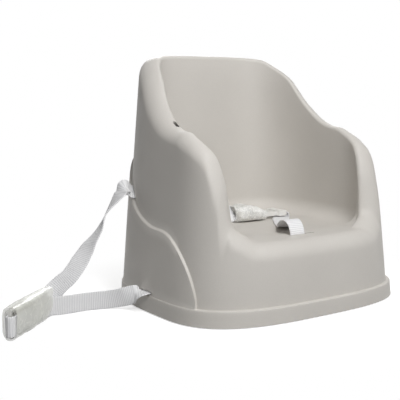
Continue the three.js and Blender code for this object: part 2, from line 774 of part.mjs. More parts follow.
function roundedPlate(from, to, corner, slot, thickness) {
  const half = buckleWidth / 2;
  const shape = new THREE.Shape();
  shape.moveTo(from + corner, -half);
  shape.lineTo(to - corner, -half);
  shape.absarc(to - corner, -half + corner, corner, -Math.PI / 2, 0, false);
  shape.lineTo(to, half - corner);
  shape.absarc(to - corner, half - corner, corner, 0, Math.PI / 2, false);
  shape.lineTo(from + corner, half);
  shape.absarc(from + corner, half - corner, corner, Math.PI / 2, Math.PI, false);
  shape.lineTo(from, -half + corner);
  shape.absarc(from + corner, -half + corner, corner, Math.PI, Math.PI * 1.5, false);
  const [start, end] = slot;
  const hole = new THREE.Path();
  const reach = (pocketWidth - prongClearance) / 2;
  hole.moveTo(start, -reach);
  hole.lineTo(start, reach);
  hole.lineTo(end, reach);
  hole.lineTo(end, -reach);
  hole.closePath();
  shape.holes.push(hole);
  const geometry = new THREE.ExtrudeGeometry(shape, {
    depth: thickness - 2 * buckleEdge,
    bevelEnabled: true,
    bevelThickness: buckleEdge,
    bevelSize: buckleEdge,
    bevelOffset: -buckleEdge,
    bevelSegments: 1,
    curveSegments: 4,
  });
  return solid(geometry.translate(0, 0, buckleEdge - thickness / 2));
}

function makeSocket() {
  const slotEnd = socketLength - barWidth;
  const slot = [slotEnd - strapSlot, slotEnd];
  let body = roundedPlate(0, socketLength, 4.5, slot, socketThickness);
  body = body.subtract(box(pocketDepth + 1, pocketWidth, pocketThickness, (pocketDepth - 1) / 2, 0, 0));
  const windowLength = pressTo - pressFrom;
  const windowMiddle = (pressTo + pressFrom) / 2;
  body = body.subtract(box(windowLength, buckleWidth + 2, pocketThickness - 1, windowMiddle, 0, 0));
  return geometryOf(body);
}

function prongShape() {
  const outer = pocketWidth / 2 - prongClearance;
  const root = outer - armWidth - 0.6;
  const arm = new THREE.Shape();
  arm.moveTo(-2, outer - 0.8);
  arm.quadraticCurveTo(prongReach * 0.35, outer - 1.6, pressFrom + 1, outer);
  arm.lineTo(pressTo - 1, outer);
  arm.quadraticCurveTo(prongReach, outer, prongReach, outer - 2);
  arm.lineTo(prongReach - 3, outer - armWidth - 1.4);
  arm.quadraticCurveTo(prongReach * 0.5, outer - armWidth - 1, -2, root);
  arm.closePath();
  return arm;
}

function makeProngs() {
  const back = -gap - prongBodyLength;
  const slotFrom = back + barWidth;
  const slot = [slotFrom, slotFrom + strapSlot];
  let body = roundedPlate(back, -gap, 3.5, slot, prongBodyThickness);
  const thickness = pocketThickness - 2 * prongClearance;
  const arm = new THREE.ExtrudeGeometry(prongShape(), {
    depth: thickness, bevelEnabled: false, curveSegments: 4,
  });
  arm.translate(0, 0, -thickness / 2);
  const twin = arm.clone().rotateX(Math.PI);
  const guide = stadiumBlock(prongReach + 4, guideWidth, thickness).translate(prongReach / 2 - 2, 0, 0);
  [arm, twin, guide].forEach((piece) => {
    body = body.add(solid(piece));
  });
  return geometryOf(body);
}

// Film sleeve: a soft tube, each section with its place along X, middle, width and thickness

function makeSleeve(sections) {
  const ring = ([x, y, z, width, thickness], inset) => Array.from({ length: filmSides }, (_, k) => {
    const turn = (2 * Math.PI * (k + 0.5)) / filmSides;
    return new THREE.Vector3(
      x,
      y + (width / 2 - inset) * bent(Math.cos(turn), filmSquareness),
      z + (thickness / 2 - inset) * bent(Math.sin(turn), filmSquareness),
    );
  });
  const outer = sections.map((section) => ring(section, 0));
  const inner = sections.map((section) => ring(section, film)).reverse();
  const rings = [...outer, ...inner];
  const vertices = rings.flat().flatMap((point) => point.toArray());
  const faces = [];
  rings.forEach((_, i) => {
    const next = (i + 1) % rings.length;
    for (let k = 0; k < filmSides; k += 1) {
      const l = (k + 1) % filmSides;
      faces.push(i * filmSides + k, i * filmSides + l, next * filmSides + k);
      faces.push(i * filmSides + l, next * filmSides + l, next * filmSides + k);
    }
  });
  const geometry = new THREE.BufferGeometry();
  geometry.setAttribute('position', new THREE.BufferAttribute(new Float32Array(vertices), 3));
  geometry.setIndex(faces);
  return geometry;
}

// The assembly

const plastic = new THREE.MeshStandardMaterial({ color: 0xc8c4bf, roughness: 0.55, metalness: 0 });
const rubber = new THREE.MeshStandardMaterial({ color: 0x4a4a4a, roughness: 0.8, metalness: 0 });
const web = new THREE.MeshStandardMaterial({ color: 0xe8e8ea, roughness: 0.85, metalness: 0 });
const white = new THREE.MeshStandardMaterial({ color: 0xf0efec, roughness: 0.4, metalness: 0 });
const clear = new THREE.MeshStandardMaterial({
  color: 0xc9cbc4, roughness: 0.25, metalness: 0, transparent: true, opacity: 0.4,
});

const group = new THREE.Group();

function addMesh(name, geometry, material, parent = group) {
  const mesh = new THREE.Mesh(geometry, material);
  mesh.name = name;
  parent.add(mesh);
  return mesh;
}

const frames = slotFrames();
addMesh('seat_shell', makeShell(frames), plastic);
footPlaces().forEach(([name, x, y]) => addMesh(name, makeFoot(x, y), rubber));

addMesh('upper_strap_stop', makeStop(frames.upper_left, 0), white);
addMesh('lower_strap_stop', makeStop(frames.lower_left, 0), white);
addMesh('waist_strap_stop', makeStop(frames.waist, 0), white);
addMesh('crotch_strap_stop', makeStop(frames.crotch, crotchWebX), white);

addMesh('upper_strap', webbing(upperStrapRoute(frames.upper_left), 48), web);
addMesh('lower_strap', webbing(lowerStrapRoute(frames.lower_left), 52), web);
addMesh('crotch_strap', webbing(crotchStrapRoute(), 48), web);
addMesh('waist_strap', webbing(waistStrapRoute(frames.waist), 34), web);

const chairBuckle = new THREE.Group();
const chairMouth = chairPoint(chairSocketFrom + socketLength, 0, chairHeight);
const buckleAxis = chairHeading.clone().negate();
const upright = new THREE.Vector3(0, 0, 1);
chairBuckle.quaternion.setFromRotationMatrix(new THREE.Matrix4().makeBasis(
  buckleAxis, upright, new THREE.Vector3().crossVectors(buckleAxis, upright),
));
chairBuckle.position.set(...chairMouth);
group.add(chairBuckle);
addMesh('chair_buckle_socket', makeSocket(), white, chairBuckle);
addMesh('chair_buckle_prongs', makeProngs(), white, chairBuckle);
addMesh('chair_buckle_sleeve', makeSleeve([
  [-18, 2, 3, 41, 22],
  [0, 2, 2.4, 41, 24.6],
  [22, 2, 2.2, 41, 25],
  [44, 2, 2.4, 41, 24.6],
  [68, 2, 3.4, 40.6, 23],
  [88, 2, 4.4, 40, 21.6],
]), clear, chairBuckle);

const seatBuckle = new THREE.Group();
seatBuckle.rotation.z = Math.PI;
seatBuckle.position.set(seatMouthX, seatBuckleY, seatBuckleZ);
group.add(seatBuckle);
addMesh('harness_buckle_socket', makeSocket(), white, seatBuckle);
addMesh('harness_buckle_prongs', makeProngs(), white, seatBuckle).position.x = -seatBucklePull;
addMesh('harness_buckle_sleeve', makeSleeve([
  [0.5, 0, 1.2, 44, 17.2],
  [14, 0, 3.6, 44.6, 22],
  [30, 0, 5.1, 44, 25],
  [48.5, 0, 4.45, 40, 23.7],
]), clear, seatBuckle);

export default group;
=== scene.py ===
"""Chair booster seat: moulded shell, rubber feet, webbing straps, and buckles in film sleeves."""
import json
import math

import bmesh
import bpy
from mathutils import Matrix, Vector, noise

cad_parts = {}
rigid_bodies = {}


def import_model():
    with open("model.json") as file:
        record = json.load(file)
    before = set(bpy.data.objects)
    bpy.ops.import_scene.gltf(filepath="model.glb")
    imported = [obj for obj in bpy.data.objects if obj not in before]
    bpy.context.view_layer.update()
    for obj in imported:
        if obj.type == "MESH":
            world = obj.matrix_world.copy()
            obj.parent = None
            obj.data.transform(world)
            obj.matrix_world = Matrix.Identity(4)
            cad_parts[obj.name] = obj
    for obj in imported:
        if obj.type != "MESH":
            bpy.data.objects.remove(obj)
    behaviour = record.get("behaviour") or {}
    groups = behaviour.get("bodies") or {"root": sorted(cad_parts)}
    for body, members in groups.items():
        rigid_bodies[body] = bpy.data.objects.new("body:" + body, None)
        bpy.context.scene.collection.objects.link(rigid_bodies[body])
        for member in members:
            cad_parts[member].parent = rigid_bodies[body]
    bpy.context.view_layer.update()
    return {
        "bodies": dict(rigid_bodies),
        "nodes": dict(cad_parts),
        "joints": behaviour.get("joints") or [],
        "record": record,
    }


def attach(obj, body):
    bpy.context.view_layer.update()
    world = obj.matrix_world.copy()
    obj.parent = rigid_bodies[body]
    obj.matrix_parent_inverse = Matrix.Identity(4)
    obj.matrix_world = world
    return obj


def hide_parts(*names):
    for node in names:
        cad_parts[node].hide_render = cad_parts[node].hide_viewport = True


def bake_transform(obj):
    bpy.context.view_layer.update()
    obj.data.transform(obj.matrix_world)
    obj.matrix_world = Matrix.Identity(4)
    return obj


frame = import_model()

MM = 0.001
DEGREE = math.pi / 180

# Camera at the photograph's viewing angle
CAMERA_PLACE = (-0.7415, -0.9273, 0.2955)
CAMERA_AZIMUTH = -34.955
CAMERA_ELEVATION = 7.669
CAMERA_LENS = 74.63

# Shell sizes in millimetres, the same as the solids' sizes
BASE_WIDTH = 370
BASE_DEPTH = 312
FRONT_REACH = 120
BACK_HEIGHT = 344
PAN_HEIGHT = 102
PAN_DIP = 2
WALL = 25.5
RIM_ROLL = 20
RIM_ROLL_DROP = 0.84
SKIN = 3
LIP_ROLL = 22
LIP_WIDTH = 30
TUB_DRAFT = 4
PAN_FILLET = 24
FLANGE_HEIGHT = 22
FLANGE_STEP = 5.2
FLANGE_RADIUS = 1.6
SIDE_DRAFT = 0.113
FRONT_DRAFT = 0.02
BACK_DRAFT = 0.02
SHELL_LIFT = 1
# Squareness of the plan at the base and at the top of the back
FRONT_SQUARENESS = (3.05, 2.3)
BACK_SQUARENESS = (3.2, 3.82)
# Plan angles count from the middle of the front, to the right
LIP_END = 33 * DEGREE
ARM_SPAN = 38 * DEGREE
# Rim: plan angle in degrees, and the share of the climb from the seat to the top of the back
RIM_CURVE = [
    (29, 0), (38, 0.036), (47, 0.081), (56, 0.31), (66, 0.449), (77, 0.506), (89, 0.557),
    (101, 0.7), (113, 0.862), (126, 0.933), (141, 0.983), (160, 0.996), (180, 1),
]
PANEL_STEP = 3.5
PANEL_START = 66 * DEGREE
SHOULDER_HEIGHT = 111
SHOULDER_REACH = 85
SWEEP_RISE = 30
SWEEP_REACH = 80
PANEL_TOP = 203
LEDGE_HALF = 1.6
FLANGE_FILLET = 1.2
LEAST_DRAFT = 0.12
PAN_MIDDLE_Y = 4
PAN_LEVEL = PAN_HEIGHT - PAN_DIP
WIDEST_Y = FRONT_REACH - BASE_DEPTH / 2
BACK_REACH = BASE_DEPTH - FRONT_REACH
RIB_THICKNESS = 2.4
RIB_DEPTH = 14
CROSS_RIB_STEP = 1.5
RIB_SPACING = (92, 94)
RIB_SETBACK = 14
FOOT_RADIUS = 10
FOOT_THICKNESS = 3.4
BOSS_WALL = 2.4
BOSS_HEIGHT = 16
BOSS_LIFT = 0.6
FOOT_STEM_RADIUS = 3.2
FOOT_STEM_LENGTH = 8
# Where the feet are, in plan
FEET = [(137, -121), (-137, -121), (136, 110), (-136, 110)]

# Webbing and slots, in millimetres
WEB_WIDTH = 25
WEB_THICKNESS = 1.6
SLOT_LENGTH = 28
SLOT_WIDTH = 4
CROTCH_SLOT_LENGTH = 44
GAP = 0.3
CURVED_STOP_GAP = 2
UPPER_SLOT_REACH = 178
LOWER_SLOT = (2, FLANGE_HEIGHT + SLOT_WIDTH / 2 + 1.5)
CROTCH_SLOT_Y = -106
CROTCH_WEB_X = -8.5
WAIST_SLOT = (52, 160)
RIM_SLOT_TURN = -93.8 * DEGREE
RIM_SLOT = (14, 5)
SLOT_ABOVE_LEDGE = SLOT_WIDTH / 2 + LEDGE_HALF

# Buckles, in millimetres
SOCKET_LENGTH = 40
PRONG_BODY = 15.5
CHAIR_START = Vector((-309, 46, 0))
CHAIR_HEADING = Vector((-0.745, -0.667, 0)).normalized()
CHAIR_SOCKET_FROM = 44
CHAIR_HEIGHT = 18.8
SEAT_MOUTH_X = 40.5
SEAT_BUCKLE_Y = 37
SEAT_BUCKLE_Z = PAN_LEVEL + 7.7
SEAT_PULL = 27
MOULD_EDGE = 0.45

# Sections of the film sleeves: place along the buckle, middle across, middle up, width, thickness
CHAIR_FILM_SECTIONS = [
    (-18, 2, 3, 41, 22), (0, 2, 2.4, 41, 24.6), (22, 2, 2.2, 41, 25),
    (44, 2, 2.4, 41, 24.6), (68, 2, 3.4, 40.6, 23), (88, 2, 4.4, 40, 21.6),
]
SEAT_FILM_SECTIONS = [
    (0.5, 0, 1.2, 44, 17.2), (14, 0, 3.6, 44.6, 22), (30, 0, 5.1, 44, 25),
    (46.5, 0, 4.45, 40, 23.7), (51.5, 0, 4.45, 25, 23.4),
]

# Light: what the surroundings give, and how far out the floor turns to plain white, in metres
AMBIENT = 0.16
FLOOR_BOUNCE = 0.5
FLOOR_GLOW = 0.55
FLOOR_FADE = (0.19, 0.36)
FLOOR_HALF = 4000
# Lamps: place and target in metres, size in metres, power in watts
LAMPS = {
    "above": ((-0.12, -0.45, 1.1), (0.02, 0, 0.12), 0.36, 4.0),
    "front": ((-0.2, -0.9, 0.9), (0.02, 0, 0.15), 0.45, 5.5),
    "low": ((-0.36, -1.5, 0.36), (-0.2, 0, 0.1), 0.8, 2.2),
    "rear": ((1.1, 1.9, 1.3), (0, 0.1, 0.15), 1.2, 26),
}

# Plan outline and rim


def bent(value, squareness):
    return math.copysign(abs(value) ** (2 / squareness), value)


def wall_point(angle, inset, z):
    share = z / BACK_HEIGHT
    front = math.cos(angle) > 0
    low, high = FRONT_SQUARENESS if front else BACK_SQUARENESS
    squareness = low + (high - low) * share
    half = BASE_WIDTH / 2 - FLANGE_STEP - SIDE_DRAFT * z - inset
    if front:
        reach = FRONT_REACH - FLANGE_STEP - FRONT_DRAFT * z - inset
    else:
        reach = BACK_REACH - FLANGE_STEP - BACK_DRAFT * z - inset
    x = half * bent(math.sin(angle), squareness)
    y = WIDEST_Y - reach * bent(math.cos(angle), squareness)
    return Vector((x, y, z))


def smooth(x):
    t = min(max(x, 0), 1)
    return t * t * (3 - 2 * t)


def rim_slopes():
    """Slope of the rim curve at each of its points, so that the curve never overshoots them."""
    parts = [(b[0] - a[0], b[1] - a[1]) for a, b in zip(RIM_CURVE, RIM_CURVE[1:])]
    slopes = [0]
    for (run, rise), (next_run, next_rise) in zip(parts, parts[1:]):
        near, far = run + 2 * next_run, next_run + 2 * run
        slopes.append((near + far) / (near * run / rise + far * next_run / next_rise))
    return slopes + [0]


RIM_SLOPES = rim_slopes()


def rim_height(angle):
    turn = min(max(abs(angle) / DEGREE, RIM_CURVE[0][0]), 180)
    i = max(k for k in range(len(RIM_CURVE) - 1) if RIM_CURVE[k][0] <= turn)
    (start, low), (end, high) = RIM_CURVE[i], RIM_CURVE[i + 1]
    t = (turn - start) / (end - start)
    bend = t * (1 - t) * (end - start) * (RIM_SLOPES[i] * (1 - t) - RIM_SLOPES[i + 1] * t)
    return PAN_HEIGHT + (BACK_HEIGHT - PAN_HEIGHT) * (low + (high - low) * smooth(t) + bend)


def lip_share(angle):
    return 1 - smooth((abs(angle) - LIP_END) / ARM_SPAN)


def crest_inset(angle):
    share = lip_share(angle)
    return RIM_ROLL * (1 - share) + LIP_ROLL * share


def crest_point(angle):
    return wall_point(angle, crest_inset(angle), rim_height(angle))


def rim_stretch(angle):
    step = 0.5 * DEGREE
    change = crest_point(min(angle + step, math.pi)) - crest_point(angle - step)
    return math.hypot(1, change.z / math.hypot(change.x, change.y))


def lesser(a, b):
    """The smaller of two lengths, with a soft change from one to the other."""
    return a * b / (a ** 5 + b ** 5) ** 0.2


# Plan angles at even steps of a length measured along a curve

TABLE_STEPS = 1440


def length_table(curve):
    table = [0]
    last = curve(0)
    for i in range(1, TABLE_STEPS + 1):
        here = curve(math.pi * i / TABLE_STEPS)
        table.append(table[-1] + (here - last).length)
        last = here
    return table


def angle_at(table, length):
    i = 1
    while i < TABLE_STEPS and table[i] < length:
        i += 1
    share = (length - table[i - 1]) / (table[i] - table[i - 1])
    return math.pi * (i - 1 + share) / TABLE_STEPS


def length_at(table, angle):
    place = abs(angle) / math.pi * TABLE_STEPS
    i = min(math.floor(place), TABLE_STEPS - 1)
    return table[i] + (place - i) * (table[i + 1] - table[i])


RIM_TABLE = length_table(crest_point)
WALL_TABLE = length_table(lambda angle: wall_point(angle, 0, FLANGE_HEIGHT))
PANEL_START_LENGTH = length_at(WALL_TABLE, PANEL_START)


def panel_reach(angle):
    return length_at(WALL_TABLE, angle) - PANEL_START_LENGTH


def ledge_at(reach):
    if reach < SHOULDER_REACH:
        u = 1 - max(reach, 0) / SHOULDER_REACH
        return FLANGE_HEIGHT + (SHOULDER_HEIGHT - FLANGE_HEIGHT) * (1 - u * u) ** 0.65
    v = (reach - SHOULDER_REACH) / SWEEP_REACH
    climb = SWEEP_RISE * v * v
    full = PANEL_TOP - SHOULDER_HEIGHT
    return SHOULDER_HEIGHT + full * (1 - math.exp(-climb / full - (climb / full) ** 3))


# One section of the shell, from the edge of the seat over the rim to the base and back inside


def arc(count, point):
    return [point(math.pi / 2 * i / count) for i in range(count + 1)]


def between(low, high, count):
    """Heights evenly from low to high, without the ends."""
    return [low + (high - low) * i / (count + 1) for i in range(1, count + 1)]


FLOOR_STEPS = 10
TUB_STEPS = 7
RIM_STEPS = 8
ROUND_STEPS = 10
RISING_POINTS = FLOOR_STEPS + 1 + TUB_STEPS - 1 + RIM_STEPS + 1


def shell_top(angle):
    """Points (inset, height) from the edge of the seat up to the crest of the rim."""
    return shell_section(angle)[:RISING_POINTS]


def shell_section(angle):
    """Points (inset, height) of the whole section, from the seat over the rim and back under it."""
    rim = rim_height(angle)
    share = lip_share(angle)
    stretch = rim_stretch(abs(angle))
    crest = crest_inset(angle)
    inner = WALL * (1 - share) + LIP_WIDTH * share
    floor = PAN_HEIGHT - PAN_DIP * (1 - share)
    rise = rim - floor
    outer_drop = crest * (RIM_ROLL_DROP * stretch * (1 - share) + share)
    inner_drop = lesser((inner - crest) * stretch, 0.45 * rise)
    hollow = lesser(PAN_FILLET, 0.5 * rise)
    straight = rise - inner_drop - hollow
    lean = LEAST_DRAFT + (1 - LEAST_DRAFT) * smooth(straight / (6 * TUB_DRAFT))
    foot = inner + TUB_DRAFT * lean
    cover = SKIN * stretch
    firm = min(max((inner_drop - cover) / cover, 0), 1)
    reach = panel_reach(angle)
    step = PANEL_STEP * math.sin(math.pi / 2 * min(max(reach, 0) / 1.6, 1))
    ledge = max(ledge_at(reach), FLANGE_HEIGHT + 4)

    floor_part = arc(FLOOR_STEPS, lambda a: (foot + PAN_FILLET * (1 - math.cos(a)),
                                             floor + hollow * (1 - math.sin(a))))[::-1]
    rim_part = arc(RIM_STEPS, lambda a: (crest + (inner - crest) * math.sin(a),
                                         rim - inner_drop * (1 - math.cos(a))))[::-1]
    round_over = arc(ROUND_STEPS, lambda a: (crest - crest * math.sin(a),
                                             rim - outer_drop * (1 - math.cos(a))))
    (foot_inset, foot_z), (rim_inset, rim_z) = floor_part[-1], rim_part[0]
    tub = [(foot_inset + (rim_inset - foot_inset) * i / TUB_STEPS,
            foot_z + (rim_z - foot_z) * i / TUB_STEPS) for i in range(1, TUB_STEPS)]
    top = floor_part + tub + rim_part + round_over[1:]

    wall_top = rim - outer_drop
    side = [(0, z) for z in reversed(between(ledge + LEDGE_HALF, wall_top, 9))]
    side += [(-step * smooth(i / 6), ledge + LEDGE_HALF - 2 * LEDGE_HALF * i / 6) for i in range(7)]
    panel_foot = FLANGE_HEIGHT + FLANGE_FILLET
    side += [(-step, z) for z in reversed(between(panel_foot, ledge - LEDGE_HALF, 6))]
    side += [(-step, panel_foot), (-step - 0.35, FLANGE_HEIGHT + 0.35),
             (-step - FLANGE_FILLET, FLANGE_HEIGHT)]
    edge = arc(4, lambda a: (-FLANGE_STEP + FLANGE_RADIUS * (1 - math.sin(a)),
                             FLANGE_HEIGHT - FLANGE_RADIUS * (1 - math.cos(a))))
    side += edge
    edge_foot = FLANGE_HEIGHT - FLANGE_RADIUS
    side += [(-FLANGE_STEP, z) for z in reversed(between(SHELL_LIFT, edge_foot, 3))]
    side += [(-FLANGE_STEP, SHELL_LIFT + 0.3), (-FLANGE_STEP + 0.3, SHELL_LIFT)]
    inside_flange = FLANGE_HEIGHT - SKIN + 0.5
    inside_ledge = ledge - SKIN - 1.4
    inside = [
        (SKIN - FLANGE_STEP - 0.3, SHELL_LIFT),
        (SKIN - FLANGE_STEP, SHELL_LIFT + 0.3),
        (SKIN - FLANGE_STEP, inside_flange - 1.5),
        (SKIN - step, inside_flange),
        (SKIN - step, (inside_flange + inside_ledge) / 2),
        (SKIN - step, inside_ledge),
        (SKIN, ledge - SKIN + 1.4),
    ]
    inside += [(SKIN, z) for z in between(ledge - SKIN + 1.4, wall_top, 5)]
    under_round = arc(5, lambda a: (crest - (crest - SKIN) * math.cos(a),
                                    rim - cover - (outer_drop - cover) * (1 - math.sin(a))))
    under = []
    shown = floor_part + tub + rim_part
    for i, (inset, z) in enumerate(shown):
        before, after = shown[max(i - 1, 0)], shown[min(i + 1, len(shown) - 1)]
        run, climb = abs(after[0] - before[0]), abs(after[1] - before[1])
        size = math.hypot(run, climb)
        on_rim = i >= len(floor_part) + len(tub)
        place = (inset - SKIN * climb / size, z - (cover if on_rim else SKIN) * run / size)
        if on_rim:
            a = math.asin(min(max((inset - crest) / (inner - crest), 0), 1))
            neat_inset = crest + (inner - crest - SKIN) * math.sin(a)
            neat_z = rim - cover - (inner_drop - cover) * (1 - math.cos(a))
            place = (place[0] + (neat_inset - place[0]) * firm,
                     place[1] + (neat_z - place[1]) * firm)
        under.append(place)
    return top + side + inside + under_round + under[::-1]


def stations():
    """Plan angles of the sections: even along the rim, and close at the panel's front edge."""
    count = 132
    total = RIM_TABLE[-1]
    even = [angle_at(RIM_TABLE, total * i / count) for i in range(count)] + [math.pi]
    edge = [angle_at(WALL_TABLE, PANEL_START_LENGTH + reach)
            for reach in (-0.6, 0.02, 0.25, 0.5, 0.8, 1.2, 1.6, 2.2, 3, 4.5, 6.5, 9, 12)]
    clear = [angle for angle in even if all(abs(angle - other) > 0.4 * DEGREE for other in edge)]
    half = sorted(clear + edge)
    return half + [-angle for angle in reversed(half[1:-1])]


def new_object(name, vertices, faces, scale=MM):
    mesh = bpy.data.meshes.new(name)
    mesh.from_pydata([tuple(c * scale for c in v) for v in vertices], [], faces)
    mesh.update()
    obj = bpy.data.objects.new(name, mesh)
    bpy.context.scene.collection.objects.link(obj)
    return obj


def facing_out(obj):
    mesh = bmesh.new()
    mesh.from_mesh(obj.data)
    bmesh.ops.recalc_face_normals(mesh, faces=mesh.faces)
    mesh.to_mesh(obj.data)
    mesh.free()
    return obj


def shell_body():
    angles = stations()
    middle = Vector((0, PAN_MIDDLE_Y, 0))
    shares = [0.12, 0.3, 0.48, 0.66, 0.8, 0.88, 0.94]
    rings = []
    for angle in angles:
        wall = [wall_point(angle, inset, z) for inset, z in shell_section(angle)]
        lift = wall[0].z - PAN_LEVEL
        above, below = [], []
        for share in shares:
            ease = smooth((share - 0.8) / 0.2)
            top = middle.lerp(wall[0], share)
            under = middle.lerp(wall[-1], share)
            above.append(Vector((top.x, top.y, PAN_LEVEL + lift * ease)))
            below.append(Vector((under.x, under.y, PAN_LEVEL - SKIN + lift * ease)))
        rings.append(above + wall + below[::-1])
    size = len(rings[0])
    vertices = [point for ring in rings for point in ring]
    start = len(vertices)
    vertices += [Vector((0, PAN_MIDDLE_Y, PAN_LEVEL)), Vector((0, PAN_MIDDLE_Y, PAN_LEVEL - SKIN))]
    faces = []
    for i in range(len(rings)):
        here, after = i * size, (i + 1) % len(rings) * size
        faces.append((start, here, after))
        faces += [(here + j, here + j + 1, after + j + 1, after + j) for j in range(size - 1)]
        faces.append((here + size - 1, start + 1, after + size - 1))
    return facing_out(new_object("moulded_shell", vertices, faces))


TURN_SIDES = 64


def turned(profile, x, y, count=TURN_SIDES):
    """Vertices and faces of a solid turned from (radius, height) points about an upright axis."""
    turns = [2 * math.pi * k / count for k in range(count)]
    vertices = [(x + r * math.cos(a), y + r * math.sin(a), z) for r, z in profile for a in turns]
    last = (len(profile) - 1) * count
    faces = [tuple(range(count))[::-1], tuple(range(last, last + count))]
    for i in range(len(profile) - 1):
        for k in range(count):
            a, b = i * count + k, i * count + (k + 1) % count
            faces.append((a, b, b + count, a + count))
    return vertices, faces


def block(low, high):
    """Vertices and faces of a box between two corners."""
    xs, ys, zs = zip(low, high)
    corners = [(x, y, z) for x in xs for y in ys for z in zs]
    return corners, [(0, 1, 3, 2), (4, 6, 7, 5), (0, 4, 5, 1),
                     (2, 3, 7, 6), (0, 2, 6, 4), (1, 5, 7, 3)]


def stadium_block(matrix, length, width, depth, count=12):
    radius, run = width / 2, length / 2 - width / 2
    outline = [(run * side + radius * math.cos(a), radius * math.sin(a))
               for side, base in ((1, -math.pi / 2), (-1, math.pi / 2))
               for a in (base + math.pi * k / count for k in range(count + 1))]
    vertices = [matrix @ Vector((u, v, w)) for w in (-depth / 2, depth / 2) for u, v in outline]
    size = len(outline)
    faces = [tuple(range(size))[::-1], tuple(range(size, 2 * size))]
    faces += [(k, (k + 1) % size, (k + 1) % size + size, k + size) for k in range(size)]
    return vertices, faces


def gathered(name, solids):
    vertices, faces = [], []
    for points, sides in solids:
        base = len(vertices)
        vertices += points
        faces += [tuple(base + i for i in side) for side in sides]
    return facing_out(new_object(name, vertices, faces))


def settle(obj):
    """Applies the object's modifiers."""
    graph = bpy.context.evaluated_depsgraph_get()
    mesh = bpy.data.meshes.new_from_object(obj.evaluated_get(graph))
    obj.modifiers.clear()
    obj.data = mesh
    return obj


def combine(obj, tool, operation):
    cut = obj.modifiers.new("cut", "BOOLEAN")
    cut.operation = operation
    cut.solver = "MANIFOLD"
    cut.object = tool
    settle(obj)
    bpy.data.objects.remove(tool)


def frame_matrix(middle, along, out):
    run, out = Vector(along).normalized(), Vector(out).normalized()
    across = out.cross(run)
    matrix = Matrix((run, across, out)).transposed().to_4x4()
    matrix.translation = middle
    return matrix


def side_wall_x(y, point_at):
    """How far out the wall is at y, searched between plan angles of 60 and 140 degrees."""
    points = (point_at((60 + 0.25 * i) * DEGREE) for i in range(321))
    return min(points, key=lambda p: abs(p.y - y)).x


def tub_wall_x(y, z):
    def point_at(angle):
        rising = shell_top(angle)
        for (low_inset, low), (high_inset, high) in zip(rising, rising[1:]):
            if high > z >= low:
                inset = low_inset + (high_inset - low_inset) * (z - low) / (high - low)
                return wall_point(angle, inset, z)
        return Vector((0, math.inf, 0))
    return side_wall_x(y, point_at)


def slot_frames():
    """Each slot's middle, its long direction and the direction out of the wall."""
    frames = {}
    for name, side in (("right", 1), ("left", -1)):
        def at(reach):
            turn = angle_at(WALL_TABLE, PANEL_START_LENGTH + reach) * side
            return wall_point(turn, 0, ledge_at(reach))
        middle = at(UPPER_SLOT_REACH)
        along = (at(UPPER_SLOT_REACH + 6) - at(UPPER_SLOT_REACH - 6)).normalized()
        angle = angle_at(WALL_TABLE, PANEL_START_LENGTH + UPPER_SLOT_REACH)
        level = wall_point((angle + DEGREE) * side, 0, ledge_at(UPPER_SLOT_REACH)) - middle
        outward = level.cross(along).normalized()
        outward *= math.copysign(1, outward.x * middle.x)
        across = outward.cross(along).normalized()
        across *= math.copysign(1, across.z)
        frames["upper_" + name] = (middle + across * SLOT_ABOVE_LEDGE, along, outward)
        lower_y, lower_z = LOWER_SLOT
        lower_x = side_wall_x(lower_y, lambda a: wall_point(a, -PANEL_STEP, lower_z))
        lower = Vector((side * lower_x, lower_y, lower_z))
        frames["lower_" + name] = (lower, Vector((0, 1, 0)), Vector((side, 0, 0)))
    waist_y, waist_z = WAIST_SLOT
    waist_x = tub_wall_x(waist_y, waist_z)
    lean = (tub_wall_x(waist_y + 4, waist_z) - waist_x) / 4
    waist = Vector((-waist_x, waist_y, waist_z))
    frames["waist"] = (waist, Vector((0, 0, 1)), Vector((1, lean, 0)).normalized())
    crotch = Vector((0, CROTCH_SLOT_Y, PAN_HEIGHT))
    frames["crotch"] = (crotch, Vector((1, 0, 0)), Vector((0, 0, 1)))
    return frames


